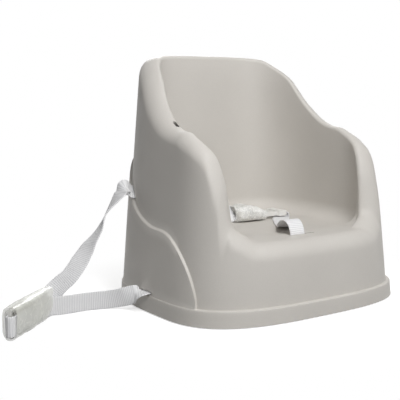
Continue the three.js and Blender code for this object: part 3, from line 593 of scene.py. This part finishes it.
def make_shell(frames):
    shell = shell_body()
    top, low = PAN_LEVEL - SKIN / 2, PAN_LEVEL - SKIN - RIB_DEPTH
    reach = wall_point(math.pi / 2, 0, PAN_LEVEL).x - SKIN / 2
    front = wall_point(0, RIB_SETBACK, low).y
    back = wall_point(math.pi, SKIN / 2, low).y
    half = RIB_THICKNESS / 2
    x, y = RIB_SPACING[0] / 2, RIB_SPACING[1] / 2
    along = [block((s * x - half, front, low), (s * x + half, back, top)) for s in (-1, 1)]
    combine(shell, gathered("ribs_along", along), "UNION")
    low += CROSS_RIB_STEP
    across = [block((-reach, s * y - half, low), (reach, s * y + half, top)) for s in (-1, 1)]
    combine(shell, gathered("ribs_across", across), "UNION")
    wide, stem = FOOT_RADIUS + GAP, FOOT_STEM_RADIUS + GAP
    foot = SHELL_LIFT + BOSS_LIFT
    boss = [(wide + BOSS_WALL, foot), (wide + BOSS_WALL, foot + BOSS_HEIGHT)]
    combine(shell, gathered("bosses", [turned(boss, *place) for place in FEET]), "UNION")
    pocket = [(wide, -GAP), (wide, FOOT_THICKNESS + GAP),
              (stem, FOOT_THICKNESS + GAP), (stem, FOOT_THICKNESS + FOOT_STEM_LENGTH + GAP)]
    holes = [turned(pocket, *place) for place in FEET]
    for name, place in frames.items():
        length = CROTCH_SLOT_LENGTH if name == "crotch" else SLOT_LENGTH
        depth = 2 * (SKIN + PANEL_STEP)
        holes.append(stadium_block(frame_matrix(*place), length, SLOT_WIDTH, depth))
    along = (crest_point(RIM_SLOT_TURN + DEGREE) - crest_point(RIM_SLOT_TURN - DEGREE)).normalized()
    up = Vector((0, 0, 1)) - along * along.z
    on_rim = frame_matrix(crest_point(RIM_SLOT_TURN), along, up)
    holes.append(stadium_block(on_rim, *RIM_SLOT, 4 * SKIN))
    combine(shell, gathered("holes", holes), "DIFFERENCE")
    return smoothed(shell, 32)


def smoothed(obj, degrees):
    obj.data.shade_smooth()
    obj.data.set_sharp_from_angle(angle=degrees * DEGREE)
    return obj


# Webbing: smooth curves through chosen points, each with the direction of the band's width


def spline(points, centripetal):
    points = [Vector(p) for p in points]
    last = len(points) - 1

    def place(t):
        p = t * last
        i = min(int(p), last - 1)
        w = p - i
        a = points[i - 1] if i > 0 else 2 * points[0] - points[1]
        b, c = points[i], points[i + 1]
        d = points[i + 2] if i + 2 <= last else 2 * points[last] - points[last - 1]
        if centripetal:
            ab, bc, cd = ((q - r).length_squared ** 0.25 for q, r in ((a, b), (b, c), (c, d)))
            start = ((b - a) / ab - (c - a) / (ab + bc) + (c - b) / bc) * bc
            end = ((c - b) / bc - (d - b) / (bc + cd) + (d - c) / cd) * bc
        else:
            start, end = (c - a) / 2, (d - b) / 2
        square, cube = 3 * (c - b) - 2 * start - end, 2 * (b - c) + start + end
        return b + start * w + square * w * w + cube * w ** 3
    return place


def strap_start(frame, stop_gap):
    middle, _, outward = frame
    behind = SKIN + stop_gap - GAP
    return [middle + outward * reach for reach in (-behind, 3)]


def chair_point(along, out, z):
    side = Vector((-CHAIR_HEADING.y, CHAIR_HEADING.x, 0))
    point = CHAIR_START + CHAIR_HEADING * along + side * out
    return (point.x, point.y, z)


def upper_route(frame):
    down = -frame[1]
    inside, outside = strap_start(frame, CURVED_STOP_GAP)
    on_edge = (0, 0, -1)
    return [
        (inside, down),
        (outside, down),
        ((-166, 78, 158), (-0.42, -0.55, -0.72)),
        ((-175, 77, 150), (-0.48, -0.65, -0.58)),
        ((-185, 75, 140), (-0.52, -0.75, -0.4)),
        ((-194, 73, 131), (-0.56, -0.8, -0.2)),
        ((-202, 71, 123), (-0.55, -0.83, 0.05)),
        ((-209, 68, 115), (-0.35, -0.92, 0.2)),
        ((-216, 64, 106), (-0.1, -0.96, 0.25)),
        ((-225, 60, 97), (0.15, -0.95, 0.25)),
        ((-234, 58, 88), (0.4, -0.88, 0.24)),
        ((-242, 56, 78), (0.63, -0.74, 0.2)),
        ((-251, 53.5, 68), (0.75, -0.63, 0.12)),
        ((-259.5, 52, 58), (0.72, -0.68, 0.02)),
        ((-269, 52, 48), (0.65, -0.74, -0.15)),
        ((-281, 55.4, 38), (0.5, -0.7, -0.5)),
        ((-291, 56, 29), (0.25, -0.42, -0.86)),
        ((-300, 52.5, 22.5), (0.06, -0.08, -0.99)),
        (chair_point(1, 0, 20), on_edge),
        (chair_point(16, 0, 19), on_edge),
        (chair_point(32, 0, CHAIR_HEIGHT), on_edge),
        (chair_point(CHAIR_SOCKET_FROM - GAP, 0, CHAIR_HEIGHT), on_edge),
    ]


def lower_route(frame):
    end = CHAIR_SOCKET_FROM + SOCKET_LENGTH + GAP + PRONG_BODY
    inside, outside = strap_start(frame, CURVED_STOP_GAP)
    on_edge = (0, 0, -1)
    return [
        (inside, (0, -1, 0)),
        (outside, (0, -1, 0)),
        ((-190, 5, 24.6), (0.08, -0.98, -0.12)),
        ((-195, 12, 22), (0.3, -0.8, -0.5)),
        ((-202, 20, 18.5), (0.4, -0.55, -0.73)),
        ((-210, 29, 15.5), (0.3, -0.3, -0.9)),
        ((-220, 37, 13.6), (0.12, -0.1, -0.98)),
        ((-234, 43, 13), on_edge),
        ((-250.5, 45.6, 12.9), on_edge),
        ((-268, 45.4, 13), on_edge),
        ((-285, 44.6, 13.6), on_edge),
        (chair_point(-8, 9.4, 14.6), on_edge),
        (chair_point(6, 9.4, 15.6), on_edge),
        (chair_point(24, 9.3, 16.6), on_edge),
        (chair_point(48, 9.2, 17.6), on_edge),
        (chair_point(72, 9.2, CHAIR_HEIGHT), on_edge),
        (chair_point(end - 2, 9.2, CHAIR_HEIGHT), on_edge),
        (chair_point(end + 4, 9, CHAIR_HEIGHT), on_edge),
        (chair_point(end + 8.4, 7.2, CHAIR_HEIGHT), on_edge),
        (chair_point(end + 9.6, 4, CHAIR_HEIGHT), on_edge),
        (chair_point(end + 8, 1.4, CHAIR_HEIGHT), on_edge),
        (chair_point(end + 4.4, 0.1, CHAIR_HEIGHT), on_edge),
        (chair_point(end + GAP, 0, CHAIR_HEIGHT), on_edge),
    ]


def crotch_route():
    x, y, base = CROTCH_WEB_X, CROTCH_SLOT_Y, PAN_HEIGHT - SKIN
    lie = PAN_LEVEL + GAP + WEB_THICKNESS / 2
    end = SEAT_MOUTH_X + SEAT_PULL + GAP + PRONG_BODY
    return [
        ((x, y, base), (1, 0, 0)),
        ((x, y, base + 5), (1, 0, 0)),
        ((x, y + 1.6, base + 10), (1, 0, 0)),
        ((x + 0.2, y + 4.6, base + 15), (1, 0, 0)),
        ((x + 0.5, y + 9, base + 19), (1, -0.03, 0)),
        ((x + 1, y + 14.5, base + 20.6), (1, -0.06, 0)),
        ((x + 2.5, y + 21, base + 19.4), (0.99, -0.14, 0)),
        ((x + 7, y + 30, base + 14.5), (0.94, -0.34, 0)),
        ((x + 13, y + 38.5, base + 8.8), (0.88, -0.48, 0)),
        ((x + 20.5, y + 47.5, base + 5), (0.83, -0.56, 0)),
        ((21, -46.5, lie + 1.3), (0.82, -0.57, 0)),
        ((31.5, -31.5, lie + 0.4), (0.82, -0.57, 0)),
        ((42, -16.5, lie + 0.1), (0.82, -0.57, 0)),
        ((52.5, -2, lie), (0.8, -0.6, 0)),
        ((62.5, 11, lie), (0.77, -0.64, 0)),
        ((73, 22.5, lie), (0.68, -0.73, 0)),
        ((end, 34, lie), (0.5, -0.86, 0)),
        ((end + 4, 36.4, lie + 0.1), (0.28, -0.96, 0)),
        ((end + 6.6, SEAT_BUCKLE_Y, lie + 1.1), (0, -1, 0)),
        ((end + 7.3, SEAT_BUCKLE_Y, lie + 3.2), (0, -1, 0)),
        ((end + 6, SEAT_BUCKLE_Y, lie + 5.4), (0, -1, 0)),
        ((end + 3, SEAT_BUCKLE_Y, SEAT_BUCKLE_Z), (0, -1, 0)),
        ((end + GAP, SEAT_BUCKLE_Y, SEAT_BUCKLE_Z), (0, -1, 0)),
    ]


def waist_route(frame):
    lie = PAN_LEVEL + GAP + WEB_WIDTH / 2
    y, z = WAIST_SLOT
    inside, outside = strap_start(frame, CURVED_STOP_GAP)
    upright = (0, 0, -1)
    return [
        (inside, upright),
        (outside, upright),
        ((-119, y - 3, z - 1.4), upright),
        ((-106, y - 6.5, z - 5), upright),
        ((-92, y - 10, z - 15), upright),
        ((-78, y - 13, z - 30.5), upright),
        ((-63, y - 15, lie + 6), upright),
        ((-48, y - 15.4, lie + 1.4), upright),
        ((-36, y - 15.2, lie + 0.6), upright),
        ((-24, SEAT_BUCKLE_Y, lie + 0.2), upright),
        ((-14, SEAT_BUCKLE_Y, lie - 0.4), (0, -0.25, -0.97)),
        ((-8, SEAT_BUCKLE_Y, lie - 1.6), (0, -0.62, -0.78)),
        ((-5, SEAT_BUCKLE_Y, lie - 3.6), (0, -0.87, -0.5)),
        ((-2.4, SEAT_BUCKLE_Y, SEAT_BUCKLE_Z + 0.1), (0, -0.97, -0.2)),
        ((SEAT_MOUTH_X - SOCKET_LENGTH - GAP, SEAT_BUCKLE_Y, SEAT_BUCKLE_Z), (0, -1, 0)),
    ]


def webbing(name, route):
    """A woven band with rolled selvages, and the points along its middle in metres."""
    centre = spline([point for point, _ in route], True)
    width = spline([across for _, across in route], False)
    half, edge = WEB_WIDTH / 2, WEB_THICKNESS / 2
    flat = [(-half + edge + (WEB_WIDTH - 2 * edge) * i / 10) for i in range(11)]
    section = [(u, -edge) for u in flat]
    section += [(half - edge + edge * math.sin(a), -edge * math.cos(a)) for a in (0.7, 1.57, 2.44)]
    section += [(u, edge) for u in reversed(flat)]
    section += [(-half + edge - edge * math.sin(a), edge * math.cos(a)) for a in (0.7, 1.57, 2.44)]
    count = 10 * (len(route) - 1)
    vertices, path, lengths = [], [], [0]
    for i in range(count + 1):
        t = i / count
        middle = centre(t)
        ahead = (centre(min(t + 1e-4, 1)) - centre(max(t - 1e-4, 0))).normalized()
        across = width(t)
        across = (across - ahead * across.dot(ahead)).normalized()
        face = ahead.cross(across)
        if path:
            lengths.append(lengths[-1] + (middle - path[-1]).length)
        path.append(middle)
        vertices += [middle + across * u + face * v for u, v in section]
    size = len(section)
    faces = [tuple(range(size)), tuple(range(count * size, (count + 1) * size))[::-1]]
    for i in range(count):
        for k in range(size):
            m = (k + 1) % size
            faces.append((i * size + k, i * size + m, (i + 1) * size + m, (i + 1) * size + k))
    obj = facing_out(new_object(name, vertices, faces))
    layer = obj.data.uv_layers.new(name="along_and_across")
    for loop in obj.data.loops:
        ring, place = divmod(loop.vertex_index, size)
        layer.data[loop.index].uv = (lengths[ring], section[place][0])
    smoothed(obj, 60)
    return obj, [point * MM for point in path], lengths[-1] * MM


# Buckles and film


def chair_matrix():
    axis, up = -CHAIR_HEADING, Vector((0, 0, 1))
    matrix = Matrix((axis, up, axis.cross(up))).transposed().to_4x4()
    matrix.translation = chair_point(CHAIR_SOCKET_FROM + SOCKET_LENGTH, 0, CHAIR_HEIGHT)
    return matrix


def seat_matrix():
    mouth = Matrix.Translation((SEAT_MOUTH_X, SEAT_BUCKLE_Y, SEAT_BUCKLE_Z))
    return mouth @ Matrix.Rotation(math.pi, 4, "Z")


def moulded(name, node, edge):
    """The piece's solid with its flat faces joined and every edge rounded, as from a mould."""
    obj = bpy.data.objects.new(name, frame["nodes"][node].data.copy())
    bpy.context.scene.collection.objects.link(obj)
    mesh = bmesh.new()
    mesh.from_mesh(obj.data)
    bmesh.ops.remove_doubles(mesh, verts=mesh.verts, dist=1e-6)
    bmesh.ops.dissolve_limit(mesh, angle_limit=2 * DEGREE, verts=mesh.verts, edges=mesh.edges)
    mesh.to_mesh(obj.data)
    mesh.free()
    rounding = obj.modifiers.new("edges", "BEVEL")
    rounding.width = edge * MM
    rounding.segments = 3
    rounding.limit_method = "ANGLE"
    rounding.angle_limit = 28 * DEGREE
    settle(obj)
    smoothed(obj, 35)
    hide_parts(node)
    return obj


def film_sleeve(name, matrix, sections, seed, crumple, fineness, flap, cut):
    """A thin bag open at both ends, with soft folds between its sections.

    At its last end the upper corner stands out by flap, and the lower edge falls back by cut.
    """
    around, along = 120, 90
    starts = [s[0] for s in sections]
    vertices = []
    for i in range(along + 1):
        share = i / along
        x = starts[0] + (starts[-1] - starts[0]) * share
        k = max(j for j in range(len(sections) - 1) if starts[j] <= x + 1e-9)
        w = smooth((x - starts[k]) / (starts[k + 1] - starts[k]))
        here, after = sections[k][1:], sections[k + 1][1:]
        y0, z0, wide, thick = (a + (b - a) * w for a, b in zip(here, after))
        for j in range(around):
            turn = 2 * math.pi * (j + 0.5) / around
            c, s = math.cos(turn), math.sin(turn)
            place = Vector((x * 0.04, wide * c * 0.035, thick * s * 0.05)) * fineness
            place += Vector((seed, 0, 0))
            fold = smooth(0.5 + 1.1 * noise.noise(place))
            ridge = 1 - smooth(abs(noise.noise(place * 1.1 + Vector((0, seed, 3)))) * 2.6)
            inward = crumple * (0.15 + 0.7 * fold + 0.55 * ridge)
            wave = 2.4 * noise.noise(Vector((c * 1.5, s * 1.5, seed + 9 * share)))
            x_start = max(wave, -1.5) * (1 - smooth(share * 8))
            upper = smooth((c - 0.2) / 0.8)
            lower = smooth((0.5 - c) / 1.5)
            x_end = (flap * upper - cut * lower - max(wave, -1.5)) * smooth((share - 0.6) / 0.4)
            y = y0 + (wide / 2 - 0.4 * inward) * bent(c, 3.2)
            z = z0 + (thick / 2 - inward) * bent(s, 3.2)
            vertices.append(matrix @ Vector((x + x_start + x_end, y, z)))
    faces = []
    for i in range(along):
        for j in range(around):
            a, b = i * around + j, i * around + (j + 1) % around
            faces.append((a, b, b + around, a + around))
    obj = new_object(name, vertices, faces)
    obj.data.shade_smooth()
    return obj


# Materials


def tone(r, g, b):
    """A colour written as 0 to 255 screen values."""
    def linear(c):
        c /= 255
        return c / 12.92 if c <= 0.04045 else ((c + 0.055) / 1.055) ** 2.4
    return (linear(r), linear(g), linear(b), 1)


class Paint:
    """A material with its shader, and short ways to add and join nodes."""

    def __init__(self, name, roughness, **settings):
        self.material = bpy.data.materials.new(name)
        self.material.use_nodes = True
        self.tree = self.material.node_tree
        self.shader = self.tree.nodes["Principled BSDF"]
        self.shader.inputs["Roughness"].default_value = roughness
        for socket, value in settings.items():
            self.shader.inputs[socket.replace("_", " ")].default_value = value

    def add(self, kind, **values):
        node = self.tree.nodes.new("ShaderNode" + kind)
        for key, value in values.items():
            if key in node.inputs:
                node.inputs[key].default_value = value
            else:
                setattr(node, key, value)
        return node

    def join(self, source, target):
        self.tree.links.new(source, target)

    def coordinates(self, kind, scale):
        place = self.add("TexCoord")
        mapping = self.add("Mapping")
        mapping.inputs["Scale"].default_value = scale
        self.join(place.outputs[kind], mapping.inputs["Vector"])
        return mapping.outputs["Vector"]

    def noise(self, where, scale, detail=3, roughness=0.5):
        node = self.add("TexNoise", Scale=scale, Detail=detail, Roughness=roughness)
        self.join(where, node.inputs["Vector"])
        return node.outputs["Fac"]

    def ramp(self, source, *stops):
        node = self.add("ValToRGB")
        elements = node.color_ramp.elements
        while len(elements) < len(stops):
            elements.new(0.5)
        for element, (position, colour) in zip(elements, stops):
            element.position = position
            element.color = colour if hasattr(colour, "__len__") else (colour, colour, colour, 1)
        self.join(source, node.inputs["Fac"])
        return node.outputs["Color"]

    def blend(self, share, first, second, kind="MIX"):
        node = self.add("Mix", data_type="RGBA", blend_type=kind)
        for index, value in ((0, share), (6, first), (7, second)):
            if hasattr(value, "is_linked"):
                self.join(value, node.inputs[index])
            else:
                node.inputs[index].default_value = value
        return node.outputs[2]

    def bump(self, height, strength, distance, below=None):
        node = self.add("Bump", Strength=strength, Distance=distance)
        self.join(height, node.inputs["Height"])
        if below:
            self.join(below, node.inputs["Normal"])
        self.join(node.outputs["Normal"], self.shader.inputs["Normal"])
        return node.outputs["Normal"]


def shell_plastic():
    paint = Paint("shell_plastic", 0.5, Specular_IOR_Level=0.42)
    where = paint.coordinates("Object", (1, 1, 1))
    cloud = paint.noise(where, 9, 4)
    grain = paint.noise(where, 900, 2)
    speck = paint.noise(where, 2600, 1)
    base = paint.ramp(cloud, (0.3, tone(205, 201, 195)), (0.7, tone(210, 206, 200)))
    fine = paint.ramp(grain, (0.35, 0.965), (0.65, 1.0))
    coloured = paint.blend(1, base, fine, "MULTIPLY")
    # Lighter on sharp edges, in patches: wear only, with no shade here.
    edge_wear_and_crease_shade = paint.ramp(paint.add("NewGeometry").outputs["Pointiness"], (0.5, 0.0), (0.56, 1.0))
    patches = paint.ramp(paint.noise(where, 60, 5, 0.65), (0.5, 0.0), (0.7, 0.35))
    edges = paint.blend(1, edge_wear_and_crease_shade, patches, "MULTIPLY")
    paint.join(paint.blend(edges, coloured, tone(222, 219, 214)), paint.shader.inputs["Base Color"])
    scuffed = paint.ramp(paint.noise(where, 34, 6, 0.7), (0.35, 0.46), (0.7, 0.6))
    paint.join(scuffed, paint.shader.inputs["Roughness"])
    first = paint.bump(grain, 0.16, 0.0004)
    paint.bump(speck, 0.08, 0.0002, first)
    return paint.material


def rubber():
    paint = Paint("foot_rubber", 0.85, Specular_IOR_Level=0.3)
    where = paint.coordinates("Object", (1, 1, 1))
    dust = paint.noise(where, 120, 5, 0.7)
    dusty = paint.ramp(dust, (0.35, tone(58, 58, 58)), (0.75, tone(88, 87, 85)))
    paint.join(dusty, paint.shader.inputs["Base Color"])
    paint.bump(paint.noise(where, 1500, 2), 0.3, 0.0003)
    return paint.material


def white_plastic():
    paint = Paint("white_plastic", 0.34, Specular_IOR_Level=0.5)
    where = paint.coordinates("Object", (1, 1, 1))
    cloud = paint.noise(where, 40, 3)
    base = paint.ramp(cloud, (0.3, tone(233, 232, 228)), (0.7, tone(239, 238, 235)))
    edges = paint.add("NewGeometry").outputs["Pointiness"]
    # Darker in hollows and creases, found from the curvature: painted shade. Slightly lighter on
    # sharp edges: wear.
    edge_wear_and_crease_shade = paint.ramp(edges, (0.44, tone(214, 212, 206)), (0.52, tone(240, 240, 238)))
    paint.join(paint.blend(0.4, base, edge_wear_and_crease_shade, "MULTIPLY"), paint.shader.inputs["Base Color"])
    handled = paint.ramp(paint.noise(where, 260, 4), (0.3, 0.28), (0.7, 0.42))
    paint.join(handled, paint.shader.inputs["Roughness"])
    paint.bump(paint.noise(where, 1900, 2), 0.1, 0.0002)
    return paint.material


# Wave scales that give a rib every 2.5 mm along the webbing, and a warp line every 1.2 mm across it
WEFT_SCALE = 0.1257
WARP_SCALE = 0.26


def web_fabric():
    paint = Paint("webbing", 0.82, Specular_IOR_Level=0.25, Sheen_Weight=0.25, Sheen_Roughness=0.5)
    where = paint.coordinates("UV", (1, 1, 1))
    weft = paint.add("TexWave", wave_type="BANDS", bands_direction="X",
                     Scale=WEFT_SCALE, Distortion=0.1)
    weft.inputs["Detail"].default_value = 1
    warp = paint.add("TexWave", wave_type="BANDS", bands_direction="Y", Scale=WARP_SCALE)
    for wave in (weft, warp):
        paint.join(where, wave.inputs["Vector"])
    thread = paint.noise(paint.coordinates("UV", (3.2, 1.1, 1)), 1.0, 3, 0.6)
    ribs = weft.outputs["Fac"]
    # Darker in the grooves between the ribs and between the warp yarns: painted shade.
    groove_shade = paint.ramp(ribs, (0.05, tone(226, 226, 228)), (0.4, tone(250, 250, 251)))
    ridge = paint.ramp(warp.outputs["Fac"], (0.1, 0.95), (0.6, 1.0))
    yarn = paint.ramp(thread, (0.3, 0.96), (0.7, 1.0))
    woven = paint.blend(1, paint.blend(1, groove_shade, ridge, "MULTIPLY"), yarn, "MULTIPLY")
    paint.join(woven, paint.shader.inputs["Base Color"])
    first = paint.bump(ribs, 0.4, 0.0005)
    second = paint.bump(warp.outputs["Fac"], 0.3, 0.0002, first)
    paint.bump(thread, 0.25, 0.0002, second)
    return paint.material


def clear_film(name, clear, cloudy, colour, fold, depth, cloud):
    """Thin film with soft folds as fine as fold, and creases that are cloudier by cloud."""
    paint = Paint(name, 0.3, Specular_IOR_Level=0.4, Coat_Weight=0.12, Coat_Roughness=0.2)
    paint.shader.inputs["Base Color"].default_value = colour
    where = paint.coordinates("Object", (1, 1, 1))
    folds = paint.noise(where, fold, 1, 0.3)
    creases = paint.noise(where, 2.5 * fold, 3, 0.5)
    line = paint.ramp(creases, (0.46, 0), (0.5, 1), (0.54, 0))
    clouded = paint.blend(1, paint.ramp(folds, (0.4, clear), (0.7, cloudy)),
                          paint.ramp(line, (0.2, 0), (1.0, cloud)), "ADD")
    paint.join(clouded, paint.shader.inputs["Alpha"])
    first = paint.bump(folds, 0.5, depth)
    paint.bump(line, 0.6 * cloud, depth / 5, first)
    return paint.material


def dress(obj, material):
    obj.data.materials.clear()
    obj.data.materials.append(material)
    for polygon in obj.data.polygons:
        polygon.material_index = 0
    return obj


# Camera

view = bpy.data.objects.new("camera", bpy.data.cameras.new("camera"))
view.data.lens = CAMERA_LENS
view.data.sensor_width = 36
view.data.clip_start = 0.02
az, el = math.radians(CAMERA_AZIMUTH), math.radians(CAMERA_ELEVATION)
back = Vector((math.sin(az) * math.cos(el), -math.cos(az) * math.cos(el), math.sin(el)))
right = Vector((0, 0, 1)).cross(back).normalized()
view.matrix_world = Matrix((right, back.cross(right), back)).transposed().to_4x4()
view.location = CAMERA_PLACE
bpy.context.scene.collection.objects.link(view)
bpy.context.scene.camera = view

SHELL = shell_plastic()
RUBBER = rubber()
WHITE = white_plastic()
WEBBING = web_fabric()
CHAIR_FILM = clear_film("chair_film", clear=0.5, cloudy=0.7, colour=tone(238, 239, 230),
                        fold=22, depth=0.003, cloud=0.12)
SEAT_FILM = clear_film("harness_film", clear=0.72, cloudy=0.95, colour=tone(246, 246, 243),
                       fold=60, depth=0.004, cloud=0.3)

frames = slot_frames()
straps = {}
for name, route in (
    ("upper_strap", upper_route(frames["upper_left"])),
    ("lower_strap", lower_route(frames["lower_left"])),
    ("crotch_strap", crotch_route()),
    ("waist_strap", waist_route(frames["waist"])),
):
    band, path, length = webbing(name + "_webbing", route)
    dress(band, WEBBING)
    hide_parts(name)
    straps[name] = (band, path, length)
    print(name, "length", round(length, 4))

# Buckles

pieces = {}
for node in ("chair_buckle_socket", "chair_buckle_prongs",
             "harness_buckle_socket", "harness_buckle_prongs"):
    pieces[node] = dress(moulded(node + "_moulded", node, MOULD_EDGE), WHITE)
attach(pieces["chair_buckle_socket"], "seat")
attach(pieces["harness_buckle_socket"], "seat")
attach(pieces["chair_buckle_prongs"], "chair_prongs")
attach(pieces["harness_buckle_prongs"], "harness_prongs")

pieces["chair_film"] = dress(film_sleeve(
    "chair_film", chair_matrix(), CHAIR_FILM_SECTIONS,
    seed=3.7, crumple=1.9, fineness=0.6, flap=5, cut=20), CHAIR_FILM)
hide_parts("chair_buckle_sleeve")
pieces["seat_film"] = dress(film_sleeve(
    "harness_film", seat_matrix(), SEAT_FILM_SECTIONS,
    seed=8.2, crumple=1.3, fineness=2.2, flap=0, cut=0), SEAT_FILM)
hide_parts("harness_buckle_sleeve")
for name in ("chair_film", "seat_film"):
    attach(pieces[name], "seat")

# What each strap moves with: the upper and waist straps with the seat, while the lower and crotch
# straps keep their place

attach(straps["upper_strap"][0], "seat")
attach(straps["waist_strap"][0], "seat")
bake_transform(straps["lower_strap"][0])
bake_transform(straps["crotch_strap"][0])

# Shell, feet and strap stops

shell = dress(make_shell(frames), SHELL)
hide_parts("seat_shell")
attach(shell, "seat")
for node, solid in frame["nodes"].items():
    if node.startswith("foot_"):
        smoothed(dress(solid, RUBBER), 40)
    elif node.endswith("_stop"):
        smoothed(dress(solid, WHITE), 40)

# Floor, backdrop and light


def seen_share(tree):
    """1 for what the camera, a mirror or clear film sees, 0 for the light that bounces about."""
    path = tree.nodes.new("ShaderNodeLightPath")
    share = path.outputs["Is Camera Ray"]
    for ray in ("Is Glossy Ray", "Is Transmission Ray"):
        either = tree.nodes.new("ShaderNodeMath")
        either.operation = "MAXIMUM"
        tree.links.new(share, either.inputs[0])
        tree.links.new(path.outputs[ray], either.inputs[1])
        share = either.outputs[0]
    return share


# The floor takes the shadow near the seat and fades into plain white further out

corners = [(x * FLOOR_HALF, y * FLOOR_HALF, 0) for x, y in ((-1, -1), (1, -1), (1, 1), (-1, 1))]
floor = new_object("floor", corners, [(0, 1, 2, 3)])
ground = Paint("floor", 0.9, Specular_IOR_Level=0.1)
ground.shader.inputs["Base Color"].default_value = (0.8, 0.8, 0.8, 1)
reach = ground.add("VectorMath", operation="LENGTH")
ground.join(ground.coordinates("Object", (1, 1, 1)), reach.inputs[0])
fade = ground.add("MapRange", interpolation_type="SMOOTHSTEP")
fade.inputs["From Min"].default_value = FLOOR_FADE[0]
fade.inputs["From Max"].default_value = FLOOR_FADE[1]
ground.join(reach.outputs["Value"], fade.inputs["Value"])
glow = ground.add("Emission", Strength=FLOOR_GLOW)
lifted = ground.add("AddShader")
ground.join(ground.shader.outputs[0], lifted.inputs[0])
ground.join(glow.outputs[0], lifted.inputs[1])
plain = ground.add("Emission", Strength=1.0)
faded = ground.add("MixShader")
ground.join(fade.outputs["Result"], faded.inputs[0])
ground.join(lifted.outputs[0], faded.inputs[1])
ground.join(plain.outputs[0], faded.inputs[2])
bounce = ground.add("BsdfDiffuse")
bounce.inputs["Color"].default_value = (FLOOR_BOUNCE, FLOOR_BOUNCE, FLOOR_BOUNCE, 1)
shown = ground.add("MixShader")
ground.join(seen_share(ground.tree), shown.inputs[0])
ground.join(bounce.outputs[0], shown.inputs[1])
ground.join(faded.outputs[0], shown.inputs[2])
ground.join(shown.outputs[0], ground.tree.nodes["Material Output"].inputs["Surface"])
dress(floor, ground.material)

world = bpy.data.worlds.new("studio")
world.use_nodes = True
bpy.context.scene.world = world
sky = world.node_tree.nodes["Background"]
sky.inputs["Color"].default_value = (1, 1, 1, 1)
level = world.node_tree.nodes.new("ShaderNodeMapRange")
level.inputs["To Min"].default_value = AMBIENT
level.inputs["To Max"].default_value = 1.0
world.node_tree.links.new(seen_share(world.node_tree), level.inputs["Value"])
world.node_tree.links.new(level.outputs["Result"], sky.inputs["Strength"])


def lamp(name, place, target, size, power):
    data = bpy.data.lights.new(name, "AREA")
    data.shape = "DISK"
    data.size = size
    data.energy = power
    obj = bpy.data.objects.new(name, data)
    obj.location = place
    obj.rotation_euler = (Vector(target) - Vector(place)).to_track_quat("-Z", "Y").to_euler()
    bpy.context.scene.collection.objects.link(obj)


for name, settings in LAMPS.items():
    lamp(name, *settings)

bpy.context.scene.view_settings.view_transform = "Standard"
